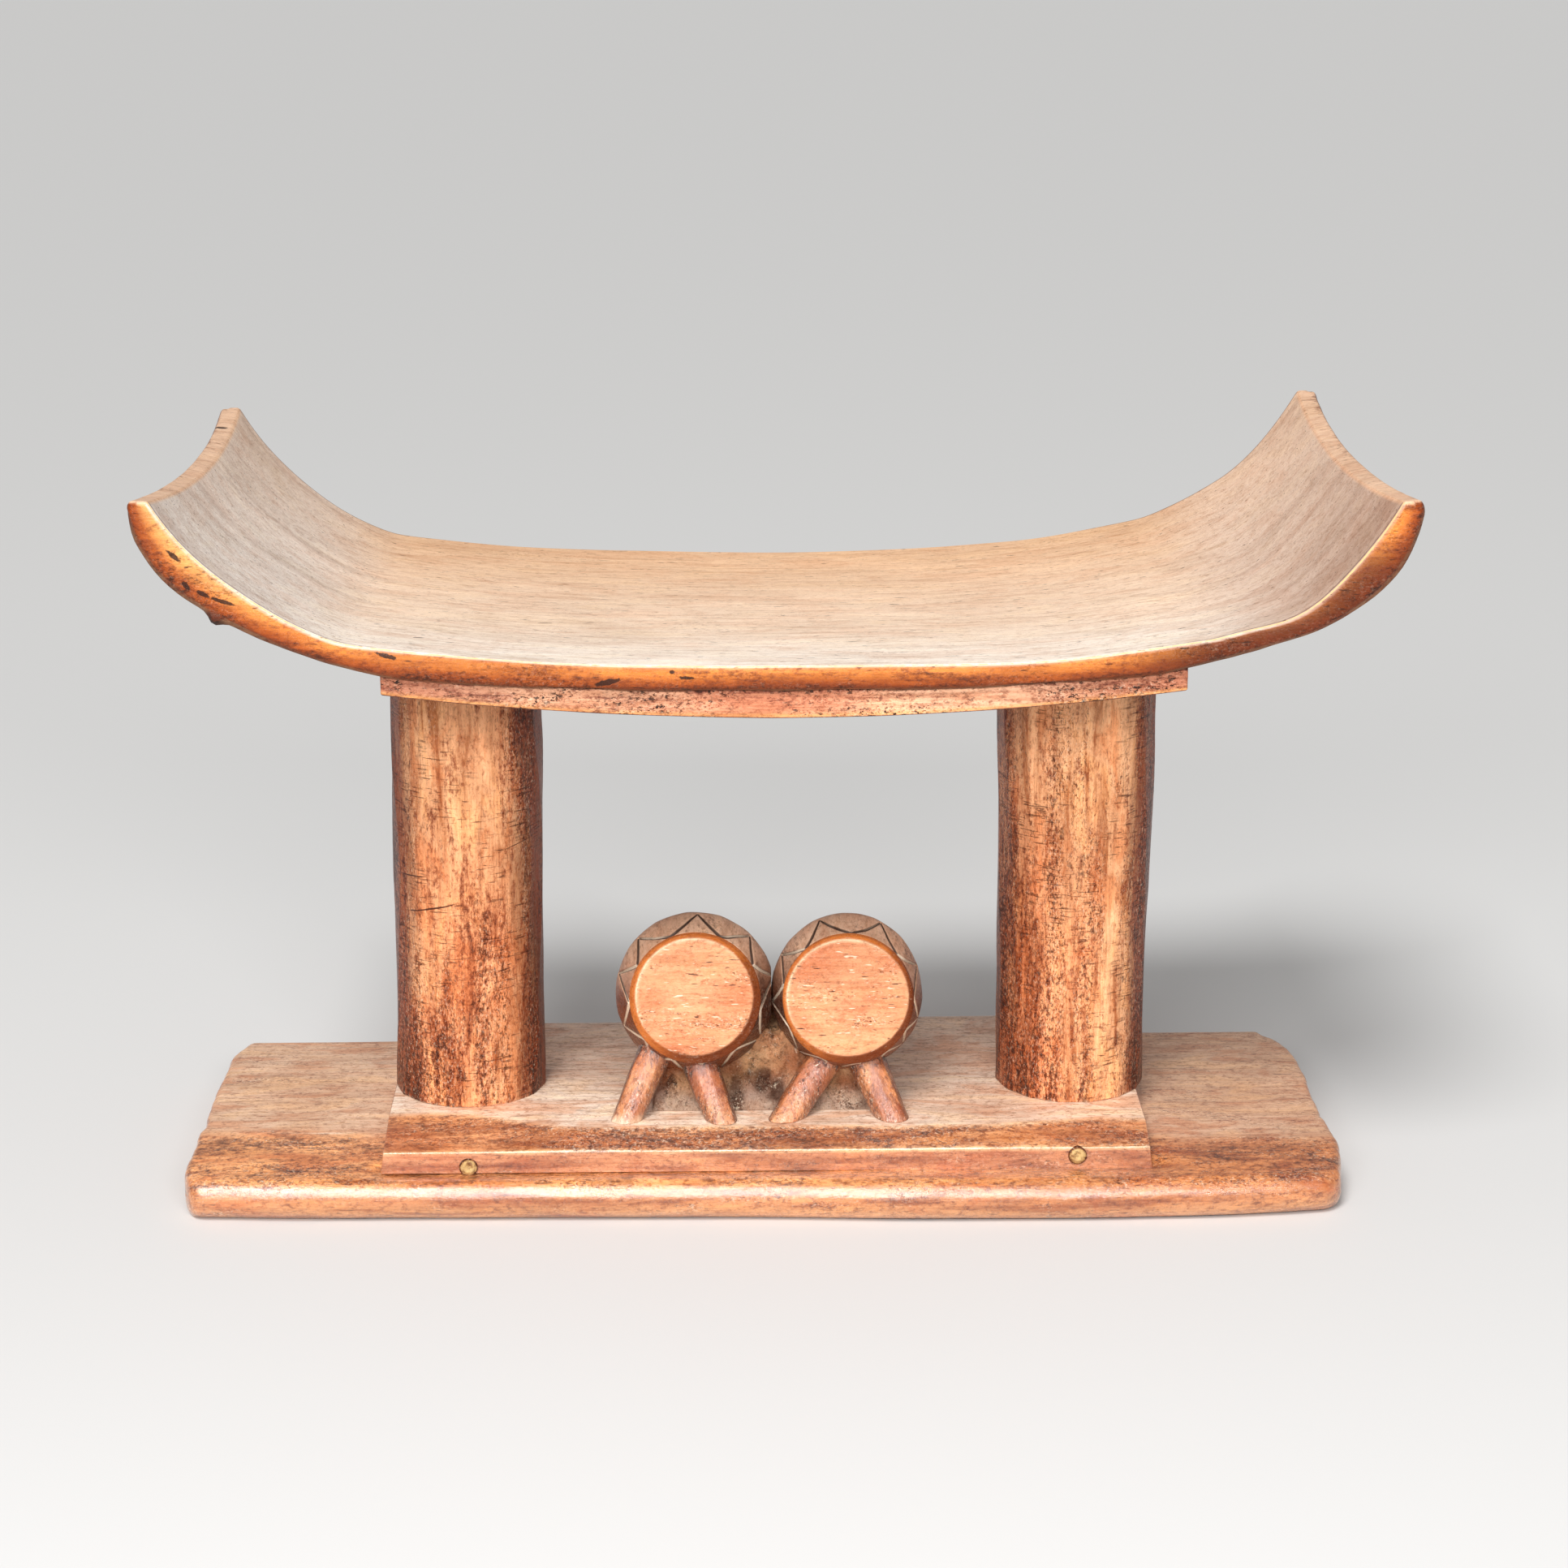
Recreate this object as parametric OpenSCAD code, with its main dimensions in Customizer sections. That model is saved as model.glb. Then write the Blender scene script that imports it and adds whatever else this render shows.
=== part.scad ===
// Carved wooden stool: a dished seat on a bearer, two round columns, a stepped
// base and a pair of small drums on splayed legs between the columns.
// The origin is on the floor under the middle of the seat; +X runs along the
// length, +Y to the back, +Z up. All sizes are in millimetres.

/* [Seat] */
// Length of the seat from tip to tip
seat_w = 580; // [560:1:620]
// Depth of the seat from front rim to back rim
seat_d = 270; // [250:1:300]
// Height of the four tips above the floor
tip_h = 366; // [362:1:370]
// Height of the seat's top in the middle
seat_mid_h = 287; // [286:0.5:290]
// Thickness of the rim in the middle
rim_t = 10; // [8:0.5:11]
// How far each end edge bows inwards in plan
end_bow = 5; // [2:0.5:9]
// How far each end edge dips below its two tips
end_dip = 8; // [3:0.5:12]

/* [Bearer] */
// Length of the curved bearer under the seat
bearer_w = 366; // [350:1:380]
// How far the bearer's faces stand back from the seat's rim
bearer_setback = 4; // [2:0.5:10]
// Thickness of the bearer in the middle
bearer_t = 14; // [11:0.5:16]

/* [Columns] */
// Distance between the two column centres
column_span = 303; // [290:1:310]
// Diameter of each column
column_dia = 76; // [66:1:80]
// Diameter of the round tenons at both ends of a column
tenon_dia = 36; // [24:1:44]
// Diameter of the pegs that lock the lower tenons
peg_dia = 8; // [5:0.5:8]

/* [Base] */
// Length of the base board
base_w = 570; // [520:1:576]
// Depth of the base board
base_d = 202; // [195:1:220]
// Thickness of the base board
base_t = 26; // [25:0.5:28]
// Length of the step on the base board
step_w = 376; // [370:1:400]
// Depth of the step
step_d = 166; // [160:1:168]
// Height of the step's top above the floor
step_h = 38; // [37:0.5:42]

/* [Drums] */
// Distance between the two drum centres
drum_span = 75.5; // [75.2:0.1:80]
// Greatest diameter of each drum
drum_dia = 75; // [66:0.5:75]
// Diameter of the flat face of each drum head
face_dia = 58; // [50:1:60]
// How far the drums tip up at the front, in degrees
drum_tilt = 13; // [8:1:18]
// Diameter of the drums' legs
leg_dia = 19; // [14:0.5:20]
// Diameter of the slimmer outer leg on the left
slim_leg_dia = 16.5; // [12:0.5:18]

/* [Hidden] */
$fn = 96;
fine = 720;
big = 1000;
clear = 0.05;

// seat profile: a shallow arc in the middle and a tighter arc in each wing
seat_arc_r = 1545;
under_arc_r = 1840;
wing_r = 150;
wing_x = seat_w / 2 - 142;
wing_z = seat_mid_h + 154.5;
wing_from_x = seat_w / 2 - 115;
under_wing_r = 250;
under_wing_x = seat_w / 2 - 164;
under_wing_z = seat_mid_h + 240.3;
under_mid_h = seat_mid_h - rim_t;
tip_round_r = 46;
tip_round_x = seat_w / 2 - tip_round_r + 1.5;

bearer_arc_r = 1430;
bearer_d = seat_d - 2 * bearer_setback;
bearer_low_h = under_mid_h - bearer_t;

// the base sits a little left of and behind the middle of the seat
base_x = -4;
base_y = 4;
nose_r = 10.5;
crease_in = 49;
pocket_h = base_t - 6;

// the columns stand a little left of the middle
column_mid_x = -1.5;
step_edge_h = 31;
step_bevel_in = 21;
tenon_low_h = 10;
tenon_top_h = under_mid_h + 10;
peg_h = 26;
peg_end_y = -6;

// drums: the middle of each flat face, and the barrel behind it
drum_mid_x = -2.2;
face_y = -50.5;
face_z = 98.5;
head_t = 5;
hoop_dia = face_dia + 7;
shoulder_r = hoop_dia / 2;
bulge_s = 24;
barrel_len = 2 * bulge_s;
stem_len = 24;
stem_end_r = 20;
spigot_r = 12;
spigot_len = 8;
cradle_h = 74;

// Where a column stands along the seat.
function column_x(side) = column_mid_x + side * column_span / 2;

// Everything above a curve with a shallow middle arc and a tighter arc in each wing.
module above_curve(mid_h, mid_r, side_x, side_z, side_r, from_x) {
    intersection() {
        translate([0, mid_h + mid_r])
            circle(mid_r, $fn = fine);
        union() {
            translate([-from_x, 0])
                square([2 * from_x, 2 * tip_h]);
            for (side = [-1, 1])
                translate([side * side_x, side_z])
                    circle(side_r, $fn = fine);
        }
    }
}

// The slab of the seat, seen from the front; it runs on above the tips.
module seat_outline() {
    difference() {
        intersection() {
            above_curve(under_mid_h, under_arc_r, under_wing_x, under_wing_z, under_wing_r,
                        wing_from_x);
            union() {
                translate([-tip_round_x, 0])
                    square([2 * tip_round_x, tip_h + 20]);
                for (side = [-1, 1])
                    translate([side * tip_round_x, tip_h - 14])
                        circle(tip_round_r, $fn = 180);
            }
        }
        above_curve(seat_mid_h, seat_arc_r, wing_x, wing_z, wing_r, wing_from_x + 5);
    }
}

// Stands a front-view outline up and gives it a depth, centred on Y.
module front_extrude(depth) {
    rotate([90, 0, 0])
        linear_extrude(depth, center = true)
            children();
}

// Lays a side-view outline along X, centred.
module side_extrude(length) {
    rotate([90, 0, 90])
        linear_extrude(length, center = true)
            children();
}

// A round bar along Y from the front point to the back point.
module bar_along_y(radius, y_from, y_to) {
    translate([0, y_from, 0])
        rotate([-90, 0, 0])
            cylinder(h = y_to - y_from, r = radius);
}

module seat() {
    bow_r = (seat_d * seat_d / 4 + end_bow * end_bow) / (2 * end_bow);
    dip_r = (seat_d * seat_d / 4 + end_dip * end_dip) / (2 * end_dip);
    color("BurlyWood")
    difference() {
        front_extrude(seat_d)
            seat_outline();
        // bowed end edges
        for (side = [-1, 1])
            translate([side * (seat_w / 2 + bow_r - end_bow), 0, 0])
                cylinder(h = big, r = bow_r, $fn = fine);
        // end edges that dip between the tips
        translate([0, 0, tip_h + dip_r - end_dip])
            rotate([0, 90, 0])
                cylinder(h = big, r = dip_r, center = true, $fn = fine);
        // blind mortises for the upper tenons
        for (side = [-1, 1])
            translate([column_x(side), 0, 0])
                cylinder(h = tenon_top_h + clear, d = tenon_dia + 2 * clear);
    }
}

// The round shape that the bearer's underside and the column tops share.
module bearer_hollow() {
    translate([0, 0, bearer_low_h + bearer_arc_r])
        rotate([90, 0, 0])
            cylinder(h = big, r = bearer_arc_r, center = true, $fn = fine);
}

module seat_bearer() {
    color("IndianRed")
    difference() {
        intersection() {
            translate([-bearer_w / 2, -bearer_d / 2, 0])
                cube([bearer_w, bearer_d, tip_h]);
            bearer_hollow();
        }
        translate([0, 0, under_mid_h + under_arc_r])
            rotate([90, 0, 0])
                cylinder(h = big, r = under_arc_r, center = true, $fn = fine);
        for (side = [-1, 1])
            translate([column_x(side), 0, 0])
                cylinder(h = tip_h, d = tenon_dia + 2 * clear);
    }
}

// One column: a round shaft with a tenon at each end and a hole for its peg.
module column(side) {
    translate([column_x(side), 0, 0])
        difference() {
            union() {
                difference() {
                    translate([0, 0, step_h])
                        cylinder(h = seat_mid_h - step_h, d = column_dia);
                    translate([-column_x(side), 0, 0])
                        bearer_hollow();
                }
                translate([0, 0, tenon_low_h])
                    cylinder(h = tenon_top_h - tenon_low_h, d = tenon_dia);
            }
            translate([0, 0, peg_h])
                bar_along_y(peg_dia / 2 + clear, -tenon_dia, peg_end_y);
        }
}

module left_column() {
    color("Sienna")
        column(-1);
}

module right_column() {
    color("Sienna")
        column(1);
}

// Side outline of the base board: round noses and a gentle fall to the front.
module base_outline() {
    front = base_y - base_d / 2;
    back = base_y + base_d / 2;
    nose_y = front + nose_r;
    tail_y = back - nose_r;
    translate([nose_y, nose_r])
        circle(nose_r);
    translate([tail_y, nose_r])
        circle(nose_r);
    polygon([[nose_y, 0], [tail_y, 0], [tail_y, 2 * nose_r], [back - crease_in, base_t],
             [front + crease_in, base_t], [nose_y, 2 * nose_r]]);
}

// A rectangle with round corners.
module round_corners(length, depth, radius) {
    square([length - 2 * radius, depth], center = true);
    square([length, depth - 2 * radius], center = true);
    for (x = [-1, 1], y = [-1, 1])
        translate([x * (length / 2 - radius), y * (depth / 2 - radius)])
            circle(radius);
}

module base_board() {
    color("Peru")
    difference() {
        intersection() {
            translate([base_x, 0, 0])
                side_extrude(base_w)
                    base_outline();
            translate([base_x, base_y, 0])
                linear_extrude(base_t)
                    round_corners(base_w, base_d, 12);
        }
        // shallow housing that the step sits in
        translate([base_x - step_w / 2, base_y - step_d / 2, pocket_h])
            cube([step_w, step_d, base_t]);
        // blind mortises for the lower tenons
        for (side = [-1, 1])
            translate([column_x(side), 0, tenon_low_h - clear])
                cylinder(h = base_t, d = tenon_dia + 2 * clear);
    }
}

module step_plate() {
    front = base_y - step_d / 2;
    back = base_y + step_d / 2;
    color("Peru")
    difference() {
        translate([base_x, 0, 0])
            side_extrude(step_w)
                polygon([[front, pocket_h], [back, pocket_h], [back, step_edge_h + 4],
                         [back - 4, step_h], [front + step_bevel_in, step_h],
                         [front, step_edge_h]]);
        for (side = [-1, 1])
            translate([column_x(side), 0, 0]) {
                cylinder(h = step_h + 1, d = tenon_dia + 2 * clear);
                translate([0, 0, peg_h])
                    bar_along_y(peg_dia / 2 + clear, front - 1, 0);
            }
    }
}

// Both pegs: driven in from the step's front face into the lower tenons.
module tenon_pegs() {
    color("Wheat")
    for (side = [-1, 1])
        translate([column_x(side), 0, peg_h])
            bar_along_y(peg_dia / 2, base_y - step_d / 2 - 0.4, peg_end_y - clear);
}

// Moves a shape built along +Z to a drum: Z = 0 is behind the head, +Z runs back.
module at_drum(side) {
    translate([drum_mid_x + side * drum_span / 2, face_y, face_z])
        rotate([-90 - drum_tilt, 0, 0])
            translate([0, 0, head_t])
                children();
}

// Half outline of a drum: a bulged barrel that narrows to a stem behind.
module drum_half() {
    rise = drum_dia / 2 - shoulder_r;
    arc_r = (bulge_s * bulge_s + rise * rise) / (2 * rise);
    intersection() {
        translate([drum_dia / 2 - arc_r, bulge_s])
            circle(arc_r, $fn = 180);
        square([drum_dia, barrel_len]);
    }
    polygon([[0, barrel_len], [shoulder_r, barrel_len], [stem_end_r, barrel_len + stem_len],
             [0, barrel_len + stem_len]]);
}

module drum_solid(side) {
    at_drum(side)
        rotate_extrude()
            drum_half();
}

module drum_body(side) {
    difference() {
        drum_solid(side);
        at_drum(side)
            translate([0, 0, -1])
                cylinder(h = spigot_len + 1 + clear, r = spigot_r + clear);
    }
}

module left_drum_body() {
    color("SaddleBrown")
        drum_body(-1);
}

module right_drum_body() {
    color("SaddleBrown")
        drum_body(1);
}

// A drum head: a thick disc with a sloped hoop edge and a spigot behind it.
module drum_head(side) {
    at_drum(side)
        rotate_extrude()
            polygon([[0, -head_t], [face_dia / 2, -head_t], [hoop_dia / 2, 2 - head_t],
                     [hoop_dia / 2, 0], [spigot_r, 0], [spigot_r, spigot_len], [0, spigot_len]]);
}

module left_drum_head() {
    color("SandyBrown")
        drum_head(-1);
}

module right_drum_head() {
    color("SandyBrown")
        drum_head(1);
}

// A round leg from its foot on the step towards a point inside the drum.
module leg_bar(foot, top, dia) {
    run = top - foot;
    length = norm(run);
    lean = acos(run.z / length);
    turn = atan2(run.y, run.x);
    translate(foot)
        rotate([0, lean, turn])
            translate([0, 0, -dia])
                rotate(90)
                    cylinder(h = length + dia, d = dia);
}

// foot and top of each leg, measured from the middle of its drum
outer_left = [[-34, -54, step_h], [-18, -37, 72]];
inner_left = [[12, -55, step_h], [0.5, -39, 65]];
inner_right = [[-30, -53, step_h], [-6, -33, 69]];
outer_right = [[21, -53, step_h], [7.5, -37, 66]];

function from_drum(side, point) = point + [drum_mid_x + side * drum_span / 2, 0, 0];

module placed_leg(side, ends, dia = leg_dia) {
    leg_bar(from_drum(side, ends[0]), from_drum(side, ends[1]), dia);
}

// One leg, cut flat on the step and fitted to the drum above it.
module leg(side, ends, dia = leg_dia) {
    difference() {
        placed_leg(side, ends, dia);
        translate([-big / 2, -big / 2, step_h - big])
            cube(big);
        drum_solid(side);
    }
}

module left_drum_outer_leg() {
    color("Chocolate")
        leg(-1, outer_left, slim_leg_dia);
}

module left_drum_inner_leg() {
    color("Chocolate")
        leg(-1, inner_left);
}

module right_drum_inner_leg() {
    color("Chocolate")
        leg(1, inner_right);
}

module right_drum_outer_leg() {
    color("Chocolate")
        leg(1, outer_right);
}

// The rough block behind the legs that carries both drums.
module drum_cradle() {
    color("DarkKhaki")
    difference() {
        translate([0, -8, 0])
            front_extrude(56)
                polygon([[-62, step_h], [56, step_h], [44, cradle_h], [-50, cradle_h]]);
        for (side = [-1, 1])
            drum_solid(side);
        placed_leg(-1, outer_left, slim_leg_dia);
        placed_leg(-1, inner_left);
        placed_leg(1, inner_right);
        placed_leg(1, outer_right);
    }
}

seat();
seat_bearer();
left_column();
right_column();
step_plate();
base_board();
tenon_pegs();
drum_cradle();
left_drum_body();
right_drum_body();
left_drum_head();
right_drum_head();
left_drum_outer_leg();
left_drum_inner_leg();
right_drum_inner_leg();
right_drum_outer_leg();
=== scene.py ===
# Carved wooden stool: a dished seat on a bearer, two columns, a stepped base and a pair of drums.
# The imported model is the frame; each piece here stands for one of its nodes, with the carved shape,
# wear and wood of the real thing. Sizes are in metres, +X along the seat, +Y to the back, +Z up.
import math

import bpy
import numpy as np
from mathutils import Euler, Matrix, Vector


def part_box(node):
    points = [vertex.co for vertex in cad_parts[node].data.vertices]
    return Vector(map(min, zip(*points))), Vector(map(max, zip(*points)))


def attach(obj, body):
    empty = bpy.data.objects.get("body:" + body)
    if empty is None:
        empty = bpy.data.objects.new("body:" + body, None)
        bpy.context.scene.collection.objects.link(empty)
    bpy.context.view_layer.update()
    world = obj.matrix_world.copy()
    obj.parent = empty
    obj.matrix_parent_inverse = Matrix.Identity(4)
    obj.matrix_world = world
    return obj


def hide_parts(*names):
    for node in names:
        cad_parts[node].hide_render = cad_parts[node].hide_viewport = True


MM = 0.001
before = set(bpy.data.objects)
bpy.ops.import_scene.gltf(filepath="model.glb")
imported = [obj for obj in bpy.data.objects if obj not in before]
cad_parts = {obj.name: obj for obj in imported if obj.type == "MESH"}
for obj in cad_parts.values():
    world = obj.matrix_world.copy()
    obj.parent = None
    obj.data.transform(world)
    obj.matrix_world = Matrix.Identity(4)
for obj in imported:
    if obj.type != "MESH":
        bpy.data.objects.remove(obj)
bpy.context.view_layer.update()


# ---- numbers and noise


def smooth(low, high, value):
    """0 below low, 1 above high, and a smooth step between them."""
    t = np.clip((value - low) / (high - low), 0.0, 1.0)
    return t * t * (3.0 - 2.0 * t)


def bell(away, width, power=2):
    """1 where away is 0, falling off smoothly to either side over that width."""
    return np.exp(-((away / width) ** power))


def even_line(x, xs, values, reach):
    """Values at places along a line, joined by a smooth curve: a mean over points this far apart."""
    return np.mean([np.interp(x + reach * step, xs, values) for step in range(-2, 3)], axis=0)


def lattice_value(ix, iy, iz, seed):
    """A fixed random number from 0 to 1 for each lattice corner."""
    n = (ix * 73856093) ^ (iy * 19349663) ^ (iz * 83492791) ^ (seed * 2654435761)
    n = n & 0x7FFFFFFF
    n = (n ^ (n >> 13)) * 1274126177 & 0x7FFFFFFF
    n = (n ^ (n >> 16)) * 668265263 & 0x7FFFFFFF
    return ((n ^ (n >> 15)) & 0xFFFFFF) / float(0xFFFFFF)


def value_noise(points, size, seed):
    """Smooth noise from -1 to 1 at each point; size is the width of one lump, or one per axis."""
    q = points / np.asarray(size, float)
    cell = np.floor(q).astype(np.int64)
    f = q - cell
    f = f * f * (3.0 - 2.0 * f)
    total = np.zeros(len(points))
    for corner in np.ndindex(2, 2, 2):
        share = np.prod(np.where(corner, f, 1 - f), axis=1)
        total += share * lattice_value(*(cell + corner).T, seed)
    return total * 2.0 - 1.0


def layered_noise(points, size, seed, layers=3):
    """Several sizes of noise added up, each half as wide and half as strong as the last."""
    size = np.asarray(size, float)
    total = np.zeros(len(points))
    strength = 1.0
    for layer in range(layers):
        total += strength * value_noise(points, size / 2**layer, seed + 17 * layer)
        strength *= 0.5
    return total / 1.75


# ---- meshes


def ticks(half, step, edge, edge_steps=4):
    """Lattice positions along one side of a box: even in the middle, closer in the rounded edges."""
    inner = half - edge
    count = max(2, int(round(2 * inner / step)))
    middle = np.linspace(-inner, inner, count + 1)
    turn = edge * np.tan(np.linspace(0, math.pi / 4, edge_steps + 1)[1:])
    return np.concatenate([-(inner + turn)[::-1], middle, inner + turn])


def box_shell(xs, ys, zs):
    """Points and quads of a closed box whose sides carry a lattice with these positions."""
    nx, ny, nz = len(xs), len(ys), len(zs)
    i, j, k = np.meshgrid(range(nx), range(ny), range(nz), indexing="ij")
    shell = (i == 0) | (i == nx - 1) | (j == 0) | (j == ny - 1) | (k == 0) | (k == nz - 1)
    number = -np.ones((nx, ny, nz), int)
    number[shell] = np.arange(shell.sum())
    points = np.stack([xs[i[shell]], ys[j[shell]], zs[k[shell]]], 1)

    def side(sheet, flip):
        a, b, c, d = sheet[:-1, :-1], sheet[1:, :-1], sheet[1:, 1:], sheet[:-1, 1:]
        quads = np.stack([a, b, c, d] if flip else [a, d, c, b], -1)
        return quads.reshape(-1, 4)

    faces = []
    for axis, flip in enumerate((False, True, False)):
        sheets = np.moveaxis(number, axis, 0)
        faces += [side(sheets[0], flip), side(sheets[-1], not flip)]
    return points, np.concatenate(faces)


def round_box(half, step, top_round, low_round):
    """A closed box with rounded edges: (points, quads), with a radius for its upper and lower edges."""
    edge = max(top_round, low_round)
    points, faces = box_shell(*[ticks(half[a], step[a], edge) for a in range(3)])
    radius = np.where(points[:, 2] > 0, top_round, low_round)[:, None]
    room = np.array(half) - radius
    core = np.clip(points, -room, room)
    off = points - core
    length = np.linalg.norm(off, axis=1, keepdims=True)
    points = np.where(length > 1e-9, core + off / np.maximum(length, 1e-9) * radius, points)
    return points, faces


def loop_quads(grid):
    """Quads between each closed loop of point numbers and the next."""
    after = np.roll(grid, -1, axis=1)
    return np.stack([grid[:-1], after[:-1], after[1:], grid[1:]], -1).reshape(-1, 4)


def turned(profile, segments):
    """A closed solid of revolution about Z: profile is a list of (radius, height), ends on the axis."""
    profile = np.array(profile, float)
    angle = np.arange(segments) * 2 * math.pi / segments
    radius, height = profile[1:-1, :1], profile[1:-1, 1:]
    rings = np.stack([radius * np.cos(angle), radius * np.sin(angle), height + 0 * angle], -1)
    foot, top = [0, 0, profile[0, 1]], [0, 0, profile[-1, 1]]
    points = np.concatenate([[foot], rings.reshape(-1, 3), [top]])
    grid = 1 + np.arange(len(points) - 2).reshape(-1, segments)
    after = np.roll(grid, -1, axis=1)
    foot_fan = [(0, b, a) for a, b in zip(grid[0], after[0])]
    top_fan = [(a, b, len(points) - 1) for a, b in zip(grid[-1], after[-1])]
    return points, [*foot_fan, *loop_quads(grid).tolist(), *top_fan]


def swept(loops):
    """A closed mesh from loops of points set one after another along X."""
    points = np.concatenate(loops)
    grid = np.arange(len(points)).reshape(len(loops), -1)
    quads = loop_quads(grid)[:, [0, 3, 2, 1]].tolist()
    return points, [grid[0].tolist(), *quads, grid[-1][::-1].tolist()]


class Piece:
    """A mesh under work: its points can be moved before it is finished."""

    def __init__(self, name, points, faces):
        self.name = name
        self.points = np.asarray(points, float)
        self.mesh = bpy.data.meshes.new(name)
        self.mesh.from_pydata(self.points.tolist(), [], [tuple(map(int, f)) for f in faces])
        self.mesh.update()

    def normals(self):
        found = np.zeros(len(self.mesh.vertices) * 3, np.float32)
        self.mesh.vertex_normals.foreach_get("vector", found)
        return found.reshape(-1, 3).astype(float)

    def update(self):
        """Gives the mesh the points as they now are."""
        self.mesh.vertices.foreach_set("co", np.asarray(self.points, np.float32).ravel())
        self.mesh.update()

    def push(self, amount):
        """Moves each point along its normal by that many metres, and gives the new points."""
        self.points = self.points + self.normals() * np.asarray(amount)[:, None]
        self.update()
        return self.points

    def paint(self, tint, **masks):
        """Stores the broad colour, and the masks that its wood reads."""
        count = len(self.mesh.vertices)
        for label, values in masks.items():
            layer = self.mesh.attributes.new(label, "FLOAT", "POINT")
            values = values if label in ("cut", "arris") else np.clip(values, 0, 1)
            layer.data.foreach_set("value", np.broadcast_to(values, count).astype(np.float32))
        colours = np.ones((count, 4), np.float32)
        colours[:, :3] = tint
        layer = self.mesh.attributes.new("tint", "FLOAT_COLOR", "POINT")
        layer.data.foreach_set("color", colours.ravel())

    def finish(self, node, material):
        """Makes the object, in place of its CAD node."""
        self.mesh.polygons.foreach_set("use_smooth", [True] * len(self.mesh.polygons))
        self.mesh.materials.append(material)
        piece = bpy.data.objects.new(self.name, self.mesh)
        bpy.context.scene.collection.objects.link(piece)
        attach(piece, "root")
        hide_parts(node)


# ---- wood


def srgb(red, green, blue):
    """A colour written as on a screen, 0 to 255, as the linear colour that shaders use."""
    linear = []
    for c in (red, green, blue):
        c /= 255.0
        linear.append(c / 12.92 if c <= 0.04045 else ((c + 0.055) / 1.055) ** 2.4)
    return (*linear, 1.0)


def blend(first, second, share):
    """A mix of two colours for each point: the first where share is 0, the second where it is 1."""
    share = np.clip(share, 0, 1)[:, None]
    return np.asarray(first)[..., :3] * (1 - share) + np.asarray(second)[..., :3] * share


class Nodes:
    """Short words for building a node tree."""

    def __init__(self, material):
        self.tree = material.node_tree

    def add(self, kind, **settings):
        node = self.tree.nodes.new(kind)
        for key, value in settings.items():
            setattr(node, key, value)
        return node

    def link(self, source, target):
        self.tree.links.new(source, target)

    def put(self, socket, value):
        if hasattr(value, "is_output"):
            self.link(value, socket)
        else:
            socket.default_value = value

    def stretched(self, scale, shift=0.0):
        """Object coordinates scaled per axis."""
        coords = self.add("ShaderNodeTexCoord")
        mapping = self.add("ShaderNodeMapping")
        mapping.inputs["Scale"].default_value = scale
        mapping.inputs["Location"].default_value = (shift, shift * 1.7, shift * 0.6)
        self.link(coords.outputs["Object"], mapping.inputs["Vector"])
        return mapping.outputs["Vector"]

    def noise(self, scale, shift=0.0, detail=3.0, rough=0.55, warp=0.0):
        """Noise with this many lumps to the metre along each axis."""
        node = self.add("ShaderNodeTexNoise")
        node.inputs["Scale"].default_value = 1.0
        node.inputs["Detail"].default_value = detail
        node.inputs["Roughness"].default_value = rough
        node.inputs["Distortion"].default_value = warp
        self.link(self.stretched(scale, shift), node.inputs["Vector"])
        return node.outputs["Fac"]

    def band(self, value, low, high, start=0.0, end=1.0):
        """value between low and high, mapped to start and end."""
        node = self.add("ShaderNodeMapRange", interpolation_type="SMOOTHSTEP")
        self.put(node.inputs["Value"], value)
        node.inputs["From Min"].default_value = low
        node.inputs["From Max"].default_value = high
        node.inputs["To Min"].default_value = start
        node.inputs["To Max"].default_value = end
        return node.outputs["Result"]

    def math(self, operation, a, b=0.0):
        node = self.add("ShaderNodeMath", operation=operation)
        self.put(node.inputs[0], a)
        self.put(node.inputs[1], b)
        return node.outputs[0]

    def times(self, a, b):
        return self.math("MULTIPLY", a, b)

    def plus(self, a, b):
        return self.math("ADD", a, b)

    def mix(self, factor, a, b, blend="MIX"):
        node = self.add("ShaderNodeMix", data_type="RGBA", blend_type=blend)
        self.put(node.inputs[0], factor)
        self.put(node.inputs[6], a)
        self.put(node.inputs[7], b)
        return node.outputs[2]

    def shade(self, base, factor, red, green, blue):
        """base times a colour, as far as factor says."""
        return self.mix(factor, base, self.mix(1.0, base, (red, green, blue, 1), "MULTIPLY"))

    def mask(self, label, output="Fac"):
        """What the piece says at each point under this name."""
        node = self.add("ShaderNodeAttribute", attribute_type="GEOMETRY", attribute_name=label)
        return node.outputs[output]

    def blot(self, centre, size, turn, ragged):
        """1 inside an oval mark: its centre and half sizes in mm, and its turn in degrees."""
        coords = self.add("ShaderNodeTexCoord")
        place = self.add("ShaderNodeMapping", vector_type="TEXTURE")
        place.inputs["Location"].default_value = [c * MM for c in centre]
        place.inputs["Scale"].default_value = [c * MM for c in size]
        place.inputs["Rotation"].default_value = [math.radians(a) for a in turn]
        self.link(coords.outputs["Object"], place.inputs["Vector"])
        reach = self.add("ShaderNodeVectorMath", operation="LENGTH")
        self.link(place.outputs["Vector"], reach.inputs[0])
        edge = self.plus(reach.outputs["Value"], self.times(self.math("SUBTRACT", ragged, 0.5), 1.6))
        return self.band(edge, 0.7, 1.0, 1.0, 0.0)

    def bump(self, height, distance, before=None):
        node = self.add("ShaderNodeBump")
        node.inputs["Strength"].default_value = 1.0
        node.inputs["Distance"].default_value = distance
        self.link(height, node.inputs["Height"])
        if before is not None:
            self.link(before, node.inputs["Normal"])
        return node.outputs["Normal"]


def along(axis, length_scale, cross_scale):
    """Scales for a texture stretched along one axis: its lumps are long there and fine across."""
    scale = [cross_scale] * 3
    scale["XYZ".index(axis)] = length_scale
    return scale


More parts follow.
